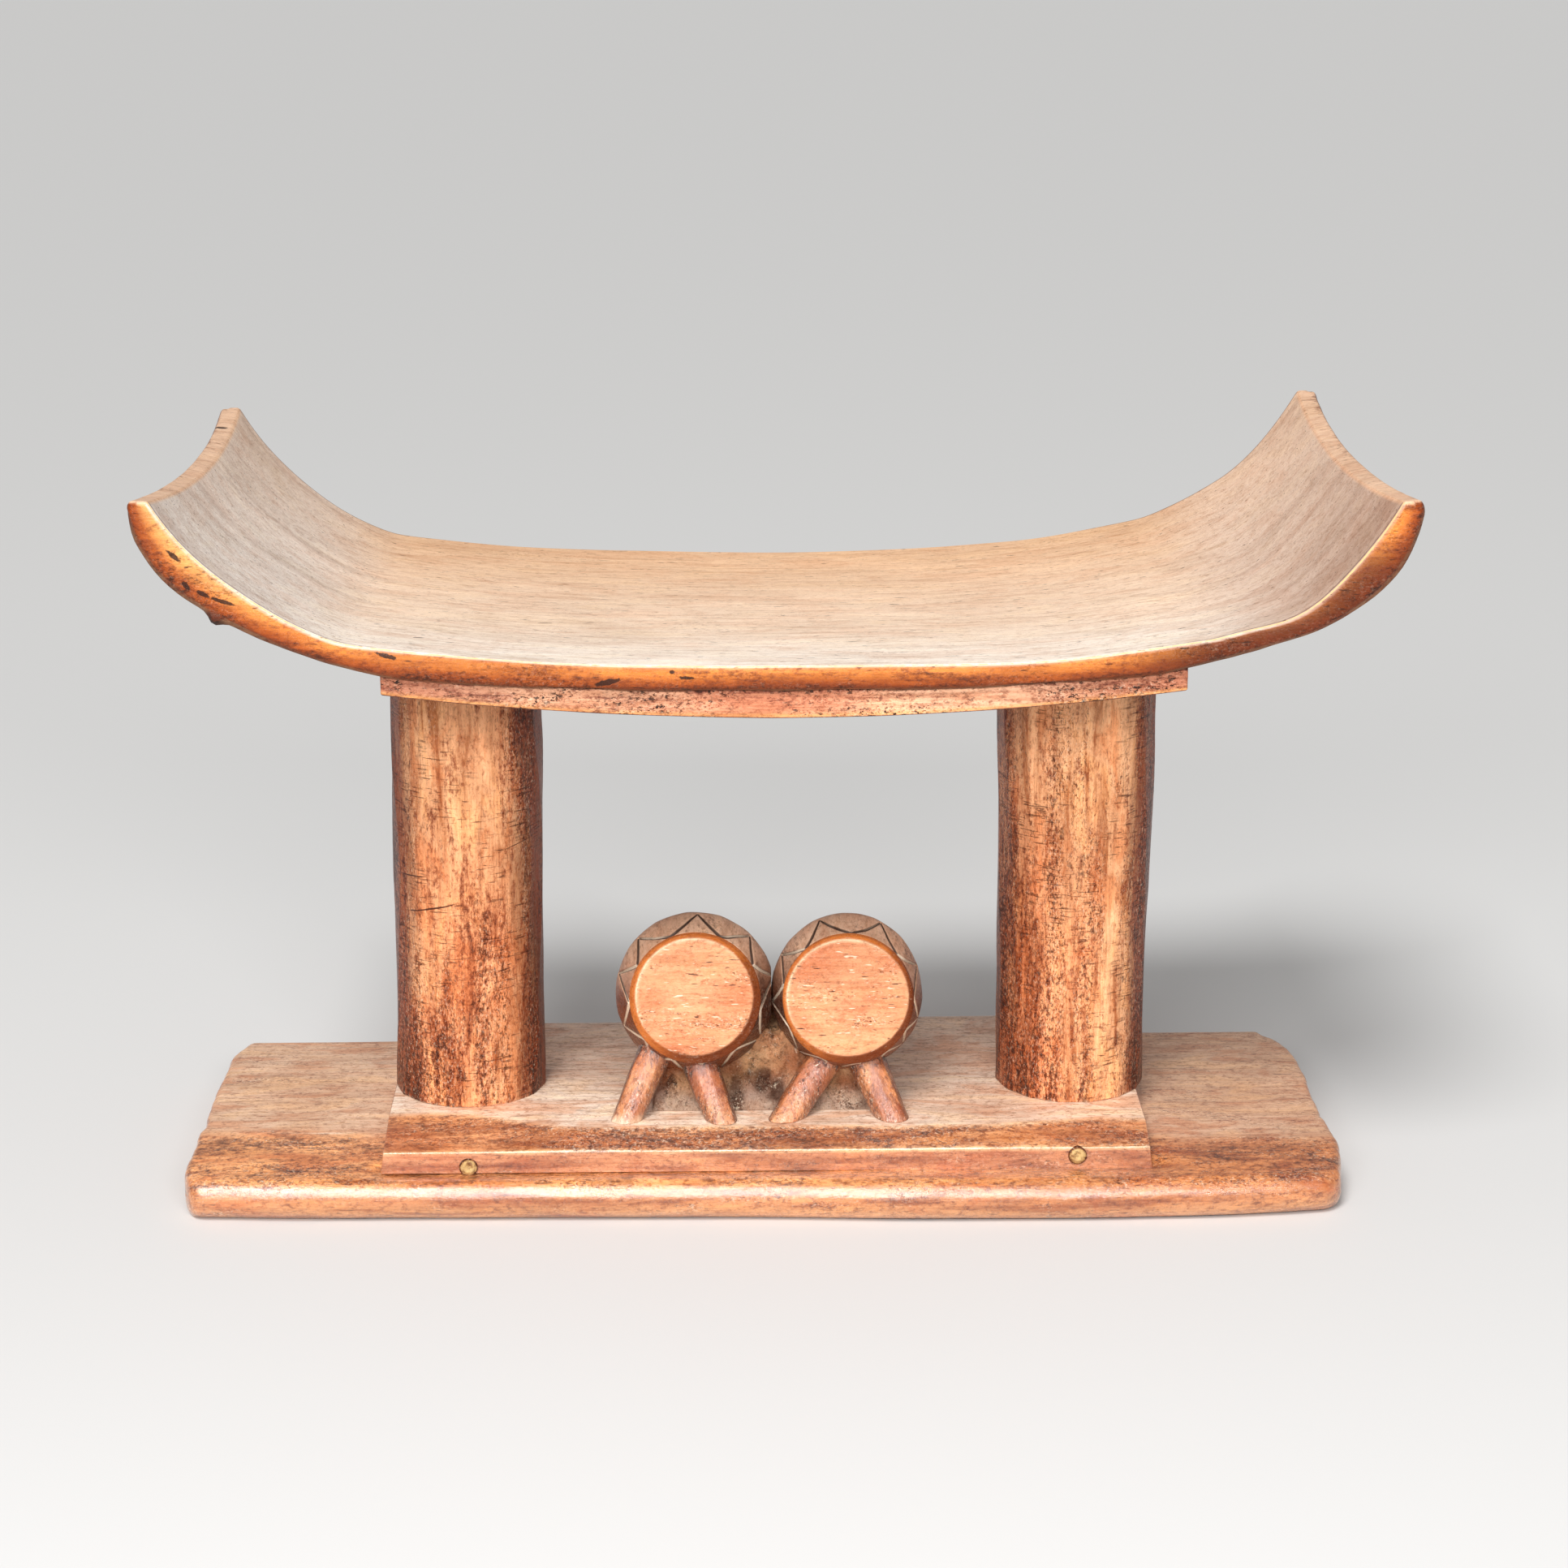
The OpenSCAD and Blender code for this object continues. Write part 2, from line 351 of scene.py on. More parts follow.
PALE = srgb(255, 232, 204)
# ARRIS colours a line that is partly rubbed wear and partly a painted highlight along the edge
ARRIS = srgb(255, 196, 130)

# what a wood looks like unless it says otherwise; scales are lumps to the metre along and across it
WOOD_LOOK = {
    "patina": srgb(120, 52, 22),  # colour of handled patches
    "deep": srgb(44, 20, 10),  # colour of pores, cracks and the darkest dirt
    "patches": (50, 150),  # scale of the patina
    "crowds": (18, 42),  # scale of the crowds that threads and dots keep to
    "mottle": 0.5,  # how strongly the patina shows
    "hue": 0.4,  # drift between redder and yellower wood
    "bands": 0.3,  # broad dark and light streaks
    "lines": 0.6,  # fine grain
    "weave": 1.0,  # fine dark threads
    "frost": 0.5,  # pale gaps between the threads
    "grit": 0.5,  # small dark crumbs
    "specks": 0.8,  # dark dots
    "pores": 0.4,  # long fine pores
    "checks": 0.0,  # cracks across the grain
    "glints": 0.5,  # tiny pale glints
    "flecks": 0.0,  # pale dashes along the grain
    "gloss": 0.3,  # roughness of clean wood
    "dull": 0.6,  # roughness of dusty wood
    "uneven": 0.35,  # how far the roughness follows the patina
    "shine": 0.25,  # specular level
    "coat": 0.0,  # weight of the clear coat
    "relief": 0.7,  # height of the bumps
    "grooves": False,  # a carved line where the cut mask is 0
    "arris": False,  # a pale edge line where the arris mask is 0
    "marks": (),  # dark marks at chosen places
}


class Grain:
    """The masks and textures that the stages of one wood share."""

    def __init__(self, n, axis, look, seed):
        self.axis, self.look, self.seed = axis, look, seed
        self.dust, self.dark, self.worn = n.mask("dust"), n.mask("dark"), n.mask("worn")
        self.lean = n.times(n.math("SUBTRACT", self.dark, 0.5), 0.34)
        self.lively = n.math("SUBTRACT", 1.0, n.mask("plain"))
        self.grain = self.noise(n, (20, 330), 1, 5, 0.66, 0.3)
        self.patch = self.noise(n, look["patches"], 4, 9, 0.76, 0.4)
        self.fine = n.noise((620, 620, 620), seed + 5, 5, 0.7)
        self.crumb = self.noise(n, (260, 420), 9, 4, 0.75, 0.3)
        self.thread = self.noise(n, (600, 1300), 13, 3, 0.7, 0.5)
        cluster = self.noise(n, look["crowds"], 11, 7, 0.78, 0.4)
        cluster = n.band(n.plus(cluster, n.times(self.lean, 0.5)), 0.47, 0.6)
        self.busy = n.times(n.plus(n.times(cluster, 0.8), 0.2), self.lively)

    def noise(self, n, scale, shift, *shape):
        """Noise stretched along the grain, with a place of its own."""
        return n.noise(along(self.axis, *scale), self.seed + shift, *shape)


def grain_colour(n, g):
    """The piece's own tint with drifts of hue, broad streaks and fine grain."""
    look = g.look
    cloud = g.noise(n, (8, 20), 0, 4, 0.6, 0.5)
    warmth = g.noise(n, (22, 60), 14, 5, 0.65, 0.6)
    strip = g.noise(n, (16, 130), 10, 5, 0.65, 0.5)
    fibre = g.noise(n, (70, 1100), 2, 3, 0.6)
    striped = n.times(n.band(g.dust, 0.2, 1.0, 1.0, 0.4), look["bands"])
    colour = n.shade(n.mask("tint", "Color"), n.band(cloud, 0.5, 0.7), 0.88, 0.85, 0.82)
    colour = n.shade(colour, n.band(cloud, 0.5, 0.3), 1.1, 1.1, 1.1)
    colour = n.shade(colour, n.times(n.band(warmth, 0.48, 0.62), look["hue"]), 0.88, 0.66, 0.52)
    colour = n.shade(colour, n.times(n.band(warmth, 0.5, 0.36), look["hue"]), 1.14, 1.1, 0.96)
    colour = n.shade(colour, n.times(n.band(strip, 0.5, 0.68), striped), 0.56, 0.38, 0.26)
    colour = n.shade(colour, n.times(n.band(strip, 0.5, 0.34), striped), 1.22, 1.26, 1.3)
    colour = n.shade(colour, n.times(n.band(g.grain, 0.47, 0.68), look["lines"]), 0.62, 0.48, 0.38)
    return n.shade(colour, n.times(n.band(fibre, 0.5, 0.72), look["lines"]), 0.68, 0.56, 0.46)


def patina_colour(n, g, colour):
    """Handled patches, dark crumbs, and dark threads with pale gaps. The patches follow the dark mask,
    which also holds painted shade.
    """
    look = g.look
    crumbled = n.times(n.math("SUBTRACT", g.crumb, 0.5), 0.5)
    broken = n.plus(n.plus(g.patch, g.lean), crumbled)
    spotty = n.times(g.lively, look["mottle"])
    colour = n.mix(n.times(n.band(broken, 0.47, 0.66), spotty), colour, look["patina"])
    colour = n.mix(n.times(n.band(broken, 0.62, 0.74), spotty), colour, look["deep"])
    colour = n.shade(colour, n.times(n.band(g.crumb, 0.48, 0.66), look["grit"]), 0.5, 0.34, 0.24)
    woven = n.times(look["weave"], g.busy)
    colour = n.shade(colour, n.times(n.band(g.thread, 0.53, 0.64), woven), 0.36, 0.2, 0.13)
    return n.mix(n.times(n.band(g.thread, 0.46, 0.32), n.times(woven, look["frost"])), colour, PALE)


def speck_colour(n, g, colour, dot):
    """Dark dots and pores, pale dashes and glints, and edges rubbed pale. The worn mask behind the
    rubbing also holds painted highlights.
    """
    look = g.look
    pore = g.noise(n, (130, 900), 3, 2, 0.5)
    pores, flecks = n.times(g.lively, look["pores"]), n.times(g.lively, look["flecks"])
    colour = n.mix(dot, colour, look["deep"])
    colour = n.mix(n.times(n.band(pore, 0.66, 0.73), pores), colour, look["deep"])
    colour = n.mix(n.times(n.band(pore, 0.34, 0.27), flecks), colour, PALE)
    bright = n.band(n.plus(g.fine, n.times(g.worn, 0.22)), 0.57, 0.66)
    colour = n.mix(n.times(bright, n.times(n.plus(g.busy, -0.1), look["glints"])), colour, PALE)
    rubbed = n.band(n.plus(g.worn, n.times(n.math("SUBTRACT", g.fine, 0.5), 0.9)), 0.42, 0.8)
    return n.mix(n.times(rubbed, 0.8), colour, PALE)


def cross_cracks(n, g):
    """1 in the short cracks that run across the grain in darker places."""
    across = g.noise(n, (1000, 95), 6, 3, 0.6, 0.4)
    where = n.plus(g.noise(n, (30, 45), 7, 3, 0.6), n.times(g.lean, 0.5))
    return n.times(n.times(n.band(across, 0.57, 0.65), n.band(where, 0.42, 0.6)), g.look["checks"])


def edge_line(n, g, colour):
    """A broken pale line along the arris, with a grey line beside it on the wings."""
    place = n.mask("arris")
    line = n.band(n.math("ABSOLUTE", place), 0.15, 0.6, 1.0, 0.0)
    # the pale line is partly rubbed wear and partly a painted highlight along the sharp edge
    colour = n.mix(n.times(line, n.band(g.crumb, 0.4, 0.52, 0.3, 0.9)), colour, ARRIS)
    grey = n.times(n.band(place, 0.6, 1.1), n.band(place, 1.7, 2.6, 1.0, 0.0))
    return n.shade(colour, n.times(grey, n.mask("wing")), 0.5, 0.48, 0.5)


def wood_gloss(n, g, shader):
    """Dusty wood is duller than clean wood, and the gloss is uneven."""
    look = g.look
    rough = n.band(g.dust, 0.0, 1.0, look["gloss"], look["dull"])
    rough = n.plus(rough, n.times(n.math("SUBTRACT", g.patch, 0.5), look["uneven"]))
    rough = n.plus(rough, n.times(n.math("SUBTRACT", g.fine, 0.5), 0.3))
    n.link(rough, shader.inputs["Roughness"])
    shader.inputs["Specular IOR Level"].default_value = look["shine"]
    shader.inputs["Coat Weight"].default_value = look["coat"]
    shader.inputs["Coat Roughness"].default_value = 0.26


def wood(name, axis, seed, **changes):
    """Worn carved wood with its grain along axis.

    The piece gives the broad colour (tint) and where it is dusty, dark with handling, rubbed pale or
    plain. The nodes add what WOOD_LOOK lists, as changed for this wood.
    """
    look = {**WOOD_LOOK, **changes}
    material = bpy.data.materials.new(name)
    material.use_nodes = True
    n = Nodes(material)
    shader = n.tree.nodes["Principled BSDF"]
    g = Grain(n, axis, look, seed)

    dots = g.noise(n, (360, 620), 12, 4, 0.7)
    dot = n.times(n.band(n.plus(dots, n.times(g.lean, 0.3)), 0.55, 0.61), n.times(g.busy, look["specks"]))
    colour = speck_colour(n, g, patina_colour(n, g, grain_colour(n, g)), dot)
    height = n.plus(n.plus(n.times(g.grain, 0.5), n.times(g.fine, 0.5)), n.times(dot, -0.6))
    if look["checks"]:
        crack = cross_cracks(n, g)
        colour = n.mix(crack, colour, look["deep"])
        height = n.plus(height, n.times(crack, -0.5))
    if look["grooves"]:
        away = n.math("ABSOLUTE", n.mask("cut"))
        in_groove = n.times(n.band(away, 0.5, 1.0, 1.0, 0.0), 0.92)
        # painted shade and painted highlight: a groove is dark where the surface faces up and pale where
        # it faces to the side or down
        colour = n.mix(in_groove, colour, n.mix(n.mask("upper"), PALE, look["deep"]))
        height = n.plus(height, n.times(n.band(away, 0.0, 1.0, 1.0, 0.0), -1.6))
    if look["arris"]:
        colour = edge_line(n, g, colour)
    for mark in look["marks"]:
        ragged = n.noise((260, 260, 260), seed + 8, 4, 0.7)
        colour = n.mix(n.times(n.blot(*mark, ragged), 0.92), colour, look["deep"])
    n.link(colour, shader.inputs["Base Color"])
    wood_gloss(n, g, shader)

    normal = n.bump(height, 0.7 * MM * look["relief"])
    normal = n.bump(g.thread, 0.2 * MM * look["relief"], normal)
    normal = n.bump(g.patch, 0.8 * MM * look["relief"], normal)
    n.link(normal, shader.inputs["Normal"])
    n.link(normal, shader.inputs["Coat Normal"])
    return material


# dark marks on the seat: the centre, half sizes and turns of each, in millimetres and degrees
SEAT_MARKS = (
    ((-77, -135, 281.4), (8, 6, 1.5), (0, -14, 0)),
    ((-41, -135, 283.2), (4, 6, 0.9), (0, 4, 0)),
    ((-48, -135, 286), (1.4, 6, 0.9), (0, 0, 0)),
    ((-176, -134, 294), (6, 6, 1.2), (0, 16, 0)),
    ((-269, -134, 340), (4.6, 8, 1.3), (0, 44, 0)),
    ((-264.5, -134, 327), (2.8, 8, 1.3), (0, 44, 0)),
    ((-257, -134, 323), (4.2, 8, 1.2), (0, 30, 0)),
    ((-248.5, -134, 319.5), (6.5, 8, 1.0), (0, 18, 0)),
    ((-281, 92, 357), (5, 2.4, 5), (0, 0, 10)),
    ((-165, -98, 294), (3, 0.8, 4), (0, 0, 20)),
    ((60, 10, 285), (4, 0.7, 4), (0, 0, -12)),
    ((-110, -40, 288), (5, 0.6, 5), (0, 0, 6)),
)

# two hairline cracks across the left column
COLUMN_MARKS = (
    ((-172, -33, 140.5), (19, 16, 0.5), (0, -16, 0)),
    ((-179, -26, 156.5), (9, 14, 0.4), (0, -8, 0)),
    ((-126, -27, 172.5), (10, 14, 0.3), (0, -12, 0)),
)

SEAT_WOOD = wood(
    "seat_wood", "X", 3.1, patches=(26, 110), mottle=0.7, hue=0.25, lines=0.45, weave=0.55, frost=0.15,
    grit=0.25, specks=0.5, pores=0.8, glints=0.1, gloss=0.26, relief=0.5, arris=True, marks=SEAT_MARKS,
)
BEARER_WOOD = wood(
    "bearer_wood", "X", 7.7, patina=srgb(116, 40, 26), patches=(30, 260), mottle=0.7, bands=0.7,
    frost=0.2, grit=0.6, specks=1.0, pores=0.5, glints=0.3,
)
COLUMN_WOOD = wood(
    "column_wood", "Z", 1.3, patina=srgb(150, 66, 30), deep=srgb(66, 28, 16), patches=(16, 130),
    crowds=(5, 60), mottle=0.85, hue=0.9, bands=1.0, frost=0.4, specks=0.7, checks=0.7, glints=0.15,
    dull=0.55, shine=0.2, marks=COLUMN_MARKS,
)
BASE_WOOD = wood(
    "base_wood", "X", 5.2, patches=(36, 120), crowds=(14, 60), mottle=0.6, hue=0.9, bands=0.9,
    frost=0.35, grit=0.7, specks=0.6, pores=0.6, gloss=0.24, dull=0.85, uneven=0.9, shine=1.0,
    coat=0.7, relief=0.3,
)
DRUM_WOOD = wood(
    "drum_wood", "Y", 9.4, patina=srgb(84, 36, 18), patches=(50, 110), mottle=0.65, bands=0.6,
    lines=0.5, weave=0.6, specks=0.5, pores=0.3, glints=0.4, gloss=0.26, shine=0.7, relief=0.8,
    grooves=True,
)
FACE_WOOD = wood(
    "face_wood", "X", 2.6, patina=srgb(196, 104, 52), patches=(50, 160), crowds=(30, 60), bands=0.35,
    lines=0.4, weave=0.9, grit=0.4, specks=0.6, pores=0.9, glints=0.9, flecks=0.8, gloss=0.27,
    dull=0.42,
)
LEG_WOOD = wood(
    "leg_wood", "Z", 4.4, patina=srgb(140, 66, 30), patches=(60, 220), crowds=(30, 90), mottle=0.8,
    hue=0.8, bands=1.0, weave=0.9, frost=0.6, pores=0.5, glints=0.9, gloss=0.2, shine=1.0, coat=0.8,
)
ROUGH_WOOD = wood(
    "rough_wood", "Y", 6.5, patina=srgb(120, 72, 48), deep=srgb(70, 40, 28), patches=(120, 160),
    crowds=(60, 90), bands=0.2, lines=0.2, frost=0.7, grit=0.6, pores=0.3, glints=1.0, gloss=0.6,
    dull=0.85, shine=0.2, relief=3.5,
)
PEG_WOOD = wood(
    "peg_wood", "Y", 8.2, patches=(300, 300), mottle=0.8, hue=0.5, lines=0.2, weave=0.5, grit=0.3,
    specks=0.4, gloss=0.45, dull=0.7, relief=1.0,
)


# ---- seat

seat_low, seat_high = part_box("seat")
SEAT_HALF_W = seat_high.x
SEAT_HALF_D = seat_high.y
TIP_H = seat_high.z
UNDER_MID = seat_low.z
RIM_T = 10 * MM
TOP_MID = UNDER_MID + RIM_T
DISH = 4 * MM
END_BOW = 5.5 * MM
END_DIP = 6.5 * MM
# radii of the long shallow arcs
TOP_ARC_R = 1545 * MM
UNDER_ARC_R = 1840 * MM
BEARER_ARC_R = 1430 * MM
# the tighter arc in each wing: where its lowest point is, how far above the middle, and its radius
WING_TOP = (148 * MM, 4.5 * MM, 150 * MM)
WING_UNDER = (126 * MM, 0.3 * MM, 250 * MM)


def arc_up(x, centre_x, bottom, radius):
    """Height of the lower part of a circle whose lowest point is at centre_x and bottom."""
    return bottom + radius - np.sqrt(np.maximum(radius**2 - (x - centre_x) ** 2, 0))


def two_arcs(x, bottom, radius, wing_arc):
    """The higher of a shallow arc and a wing's tighter one, with a slight kink where they meet."""
    wing_x, wing_rise, wing_r = wing_arc
    middle = arc_up(x, 0, bottom, radius)
    wing = arc_up(x, wing_x, bottom + wing_rise, wing_r)
    kink = 0.6 * MM
    return middle + kink * np.logaddexp(0, (wing - middle) / kink) * smooth(0.16, 0.19, x)


def seat_top(x):
    """Height of the seat's top at the rim."""
    return two_arcs(np.abs(x), TOP_MID, TOP_ARC_R, WING_TOP)


def seat_under(x):
    """Height of the seat's underside at the rim."""
    return two_arcs(np.abs(x), UNDER_MID, UNDER_ARC_R, WING_UNDER)


def bezier(t, a, b, c, d):
    """One coordinate of a smooth curve from a to d, drawn towards b and c."""
    return (1 - t) ** 3 * a + 3 * (1 - t) ** 2 * t * b + 3 * (1 - t) * t**2 * c + t**3 * d


def seat_outer(s, end_x, end_z):
    """Outer line of the slab from its middle (s 0) to the tip (s 1): (x, z). It turns up at the tip."""
    turn_s = 0.9
    turn_x = end_x - 26 * MM
    turn_z = seat_under(turn_x)
    slope = (seat_under(turn_x + MM) - seat_under(turn_x - MM)) / (2 * MM)
    x = s / turn_s * turn_x
    z = seat_under(np.minimum(x, turn_x))
    t = np.clip((s - turn_s) / (1 - turn_s), 0, 1)
    reach = 17 * MM
    ax, az = turn_x + reach, turn_z + reach * slope
    bx, bz = end_x + 0.5 * MM, end_z - 18 * MM
    past = s > turn_s
    x = np.where(past, bezier(t, turn_x, ax, bx, end_x), x)
    z = np.where(past, bezier(t, turn_z, az, bz, end_z), z)
    return x, z


def seat_top_tint(p, s, y):
    """Pale dusty top that warms to the back, with greyer, streaked wings."""
    back = (y + 1) / 2
    right = p[:, 0] > 0
    top = blend(srgb(255, 242, 228), srgb(248, 220, 194), smooth(0.0, 0.4, back))
    top = blend(top, srgb(238, 195, 156), smooth(0.35, 1.0, back))
    wing = blend(srgb(236, 224, 214), srgb(220, 194, 176), right)
    top = blend(top, wing, smooth(0.66, 0.86, s) * (1 - 0.4 * back))
    along_grain = np.stack([p[:, 0] * 0 + s + 3 * right, y, y * 0], 1)
    streak = smooth(0.1, 0.6, layered_noise(along_grain, (0.5, 0.07, 1), 15))
    top = blend(top, srgb(156, 116, 92), streak * smooth(0.6, 0.85, s) * 0.26)
    near_tip = smooth(0.78, 1.0, s) * smooth(0.3, -0.9, y) * right
    return blend(top, srgb(150, 104, 76), near_tip * 0.45)


def seat_tint(p, s, y, t, top, under, end_face, scallop):
    """The top's colours, an orange rim that darkens to its lower edge, and a brown underside."""
    right = p[:, 0] > 0
    rim = blend(srgb(56, 20, 8), srgb(168, 80, 28), smooth(0.0, 0.3, t))
    rim = blend(rim, srgb(226, 138, 62), smooth(0.3, 0.8, t))
    worn = smooth(-0.1, 0.5, layered_noise(p, (0.035, 0.05, 0.008), 16))
    rim = blend(rim, srgb(146, 68, 26), worn * 0.55)
    rim = blend(rim, srgb(238, 182, 112), smooth(0.78, 0.95, s) * (1 - right) * smooth(0.4, 0.9, t) * 0.7)
    burnt = smooth(0.5, 0.7, s) * (1 - smooth(0.93, 0.97, s)) * right
    rim = blend(rim, srgb(88, 34, 8), burnt * (0.85 - 0.25 * smooth(0.7, 0.95, t)))
    tint = blend(rim, seat_top_tint(p, s, y), top)
    brown = blend(srgb(112, 76, 54), srgb(144, 100, 70), smooth(-0.5, 0.4, scallop))
    tint = blend(tint, brown, under)
    return blend(tint, srgb(236, 196, 164), end_face * (1 - under))


# how far the seat's back edge lies above an even curve at places along it, in millimetres
BACK_EDGE_X = (-290, -265, -242, -140, -60, 66, 150, 193, 223, 290)
BACK_EDGE_RISE = (0, -1, -5, -5, -3, -3.5, -3, 1, 3, 0)


def seat_warp(s, y, t, side):
    """How far the real slab strays from an even one, outwards and up. Its right wing sags in front."""
    front, back = (1 - y) / 2, (1 + y) / 2
    right, left = side > 0, side < 0
    x = s * 290 * side
    tip = smooth(0.85, 1.0, s)
    sag = bell(s - 0.86, 0.085) * front * right
    up = -(5.5 + 3.5 * t) * sag + right * (3.8 * back - 2.4 * front) * tip - left * 2.7 * back * tip
    up += t * front * (1.4 * bell(x, 80) - 2.0 * bell(x - 130, 50))
    lip = (1.2 + 1.9 * smooth(0, 130, np.abs(x))) * (1 - smooth(170, 200, np.abs(x)))
    up -= lip * (1 - t) * smooth(0.976, 0.986, np.abs(y))
    below = 0.3 + 0.7 * smooth(0.6, 0.7, s)
    up += even_line(x, BACK_EDGE_X, BACK_EDGE_RISE, 7) * back**2 * (t + (1 - t) * below)
    out = tip * (right * (1.2 * front - 2.0 * back) + left * (1.4 * front - 2.0 * back))
    return out * MM, up * MM


def seat_points(s, y, t, side):
    """The slab's points: s runs from the middle to a tip, y from front to back, t from below to above."""
    middle = 1 - y**2
    end_z = TIP_H - 1 * MM - END_DIP * middle
    outer_x, outer_z = seat_outer(s, SEAT_HALF_W - 1 * MM - END_BOW * middle, end_z)
    inner_end = SEAT_HALF_W - 11.5 * MM - (END_BOW - 0.5 * MM) * middle
    inner_x = s * inner_end
    inner_z = seat_top(inner_x) + (end_z - seat_top(inner_end)) * smooth(0.82, 1.0, s)
    hollow = DISH * middle * (1 - 0.45 * smooth(0.75, 1.0, s))
    belly = 3.0 * MM * (1 - y**4) * smooth(0.66, 0.72, s) * (1 - smooth(0.93, 1.0, s))
    x = outer_x + (inner_x - outer_x) * t
    z = (outer_z - belly) + (inner_z - hollow - outer_z + belly) * t
    depth = SEAT_HALF_D - 0.9 * MM - 0.7 * MM * smooth(0.55, 0.85, s)
    bulge = 0.8 * MM * (4 * t * (1 - t)) * smooth(0.985, 1.0, np.abs(y))
    out, up = seat_warp(s, y, t, side)
    return np.stack([side * (x + out), y * depth + np.sign(y) * bulge, z + up], 1)


def seat_parts(normal, s, t, side):
    """How far each point belongs to the slab's top, underside and end face."""
    outside = (s > 0.6) & (normal[:, 0] * side > 0)
    facing_up = np.where(s > 0.6, -normal[:, 0] * side, 0) * 0.9 + normal[:, 2]
    end_face = smooth(0.9975, 0.9995, s) * (t > 0.1)
    top = smooth(0.3, 0.6, facing_up) * (t > 0.6) * (1 - smooth(0.999, 1.0, s)) * (1 - end_face)
    under = smooth(0.55, 0.85, -normal[:, 2] + outside * np.abs(normal[:, 0])) * (t < 0.5)
    return top, under, end_face


def make_seat():
    half = (290 * MM, 135 * MM, 6 * MM)
    points, faces = round_box(half, (2.2 * MM, 2.2 * MM, 1.6 * MM), 1.1 * MM, 3.4 * MM)
    x, y, z = (points / half).T
    s, side, t = np.abs(x), np.sign(x), (z + 1) / 2
    piece = Piece("seat_slab", seat_points(s, y, t, side), faces)
    top, under, end_face = seat_parts(piece.normals(), s, t, side)
    rim = np.clip(1 - top - under, 0, 1)

    p = piece.points
    wave = layered_noise(p, (0.09, 0.06, 0.06), 11) * 0.5 * MM
    tool = value_noise(p, (0.05, 0.012, 0.05), 12) * 0.1 * MM * top
    scallop = value_noise(p, (0.03, 0.014, 0.03), 13)
    gouge = np.abs(scallop) * 1.4 * MM * under
    rough = layered_noise(p, 0.012, 14) * 0.2 * MM * (rim * 0.8 + under)
    # a small dark knob stands out under the left wing
    knob = bell(p[:, 0] + 252 * MM, 3.5 * MM) * smooth(0.92, 0.97, -y) * under
    p = piece.push(wave + tool - gouge + 3.4 * MM * knob + rough)

    tint = seat_tint(p, s, y, t, top, under, end_face, scallop)
    low_rim = rim * (1 - smooth(0.1, 0.6, t))
    on_arris = (t > 0.5) & (s <= 0.999)
    piece.paint(
        blend(tint, srgb(46, 30, 22), smooth(0.15, 0.5, knob)),
        arris=np.where(on_arris, (1 - np.abs(y)) * 135 - (1 - t) * 12, -12),
        wing=smooth(0.55, 0.75, s),
        dust=top * 0.9 + 0.5 * end_face + 0.9 * under,
        worn=0.3 * end_face,
        dark=rim * 0.42 + low_rim * 0.35 + under * 0.5 + 0.06 - 0.35 * end_face,
    )
    piece.finish("seat", SEAT_WOOD)


# ---- bearer


def bearer_under(x):
    """Height of the bearer's underside."""
    return arc_up(x, 0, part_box("seat_bearer")[0].z, BEARER_ARC_R)


def make_bearer():
    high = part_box("seat_bearer")[1]
    half = (high.x, high.y, 7 * MM)
    points, faces = round_box(half, (3 * MM, 6 * MM, 1.6 * MM), 0.6 * MM, 1.1 * MM)
    x, y, z = points.T
    t = (z / half[2] + 1) / 2
    top = arc_up(x, 0, UNDER_MID, UNDER_ARC_R) - 0.3 * MM
    z = bearer_under(x) + (top - bearer_under(x)) * t
    lean = (t - 0.5) * 1.2 * MM
    placed = np.stack([x + 3 * MM, y - np.sign(y) * (0.5 * MM + lean), z], 1)
    piece = Piece("bearer_cleat", placed, faces)
    p = piece.points
    wave = layered_noise(p, (0.07, 0.03, 0.03), 21) * 0.4 * MM
    rough = layered_noise(p, (0.02, 0.006, 0.006), 22) * 0.15 * MM
    piece.push((wave + rough) * (1 - smooth(0.9, 1.0, t)))
    under = smooth(0.3, 0.7, -piece.normals()[:, 2])
    low_edge = bell(t - 0.1, 0.07) * (1 - under)
    scuff = smooth(0.2, 0.7, value_noise(p, (0.05, 0.05, 0.01), 24))
    stain = smooth(-0.4, 0.5, value_noise(p, (0.08, 0.1, 0.02), 25))
    face = blend(srgb(244, 186, 150), srgb(222, 146, 110), stain)
    face = blend(face, srgb(156, 78, 48), smooth(0.5, 0.95, np.abs(x) / half[0]) * 0.75)
    face = blend(face, srgb(236, 168, 104), low_edge)
    # painted shade: a darker band along the bearer's top, under the seat's overhanging rim; the dark mask
    # rises there too
    face = blend(face, srgb(150, 84, 58), smooth(0.82, 1.0, t))
    piece.paint(
        blend(face, srgb(150, 96, 68), under),
        dust=0.4 + 0.3 * scuff,
        worn=0.25 * low_edge + 0.1 * scuff,
        dark=0.45 + 0.5 * smooth(0.75, 1.0, t) + 0.3 * under - 0.2 * low_edge,
    )
    piece.finish("seat_bearer", BEARER_WOOD)


# ---- columns


def facet_wall(angle, height, count, twist_seed, length):
    """How far a whittled round bar's surface lies inside its circle, as a share of its radius."""
    drift = value_noise(np.stack([angle * 0 + 3.3, height / length, angle * 0], 1), 1.0, twist_seed)
    width = 2 * math.pi / count
    local = (angle + 0.5 * drift + width * 50) % width - width / 2
    return 1 - np.cos(width / 2) / np.cos(local)


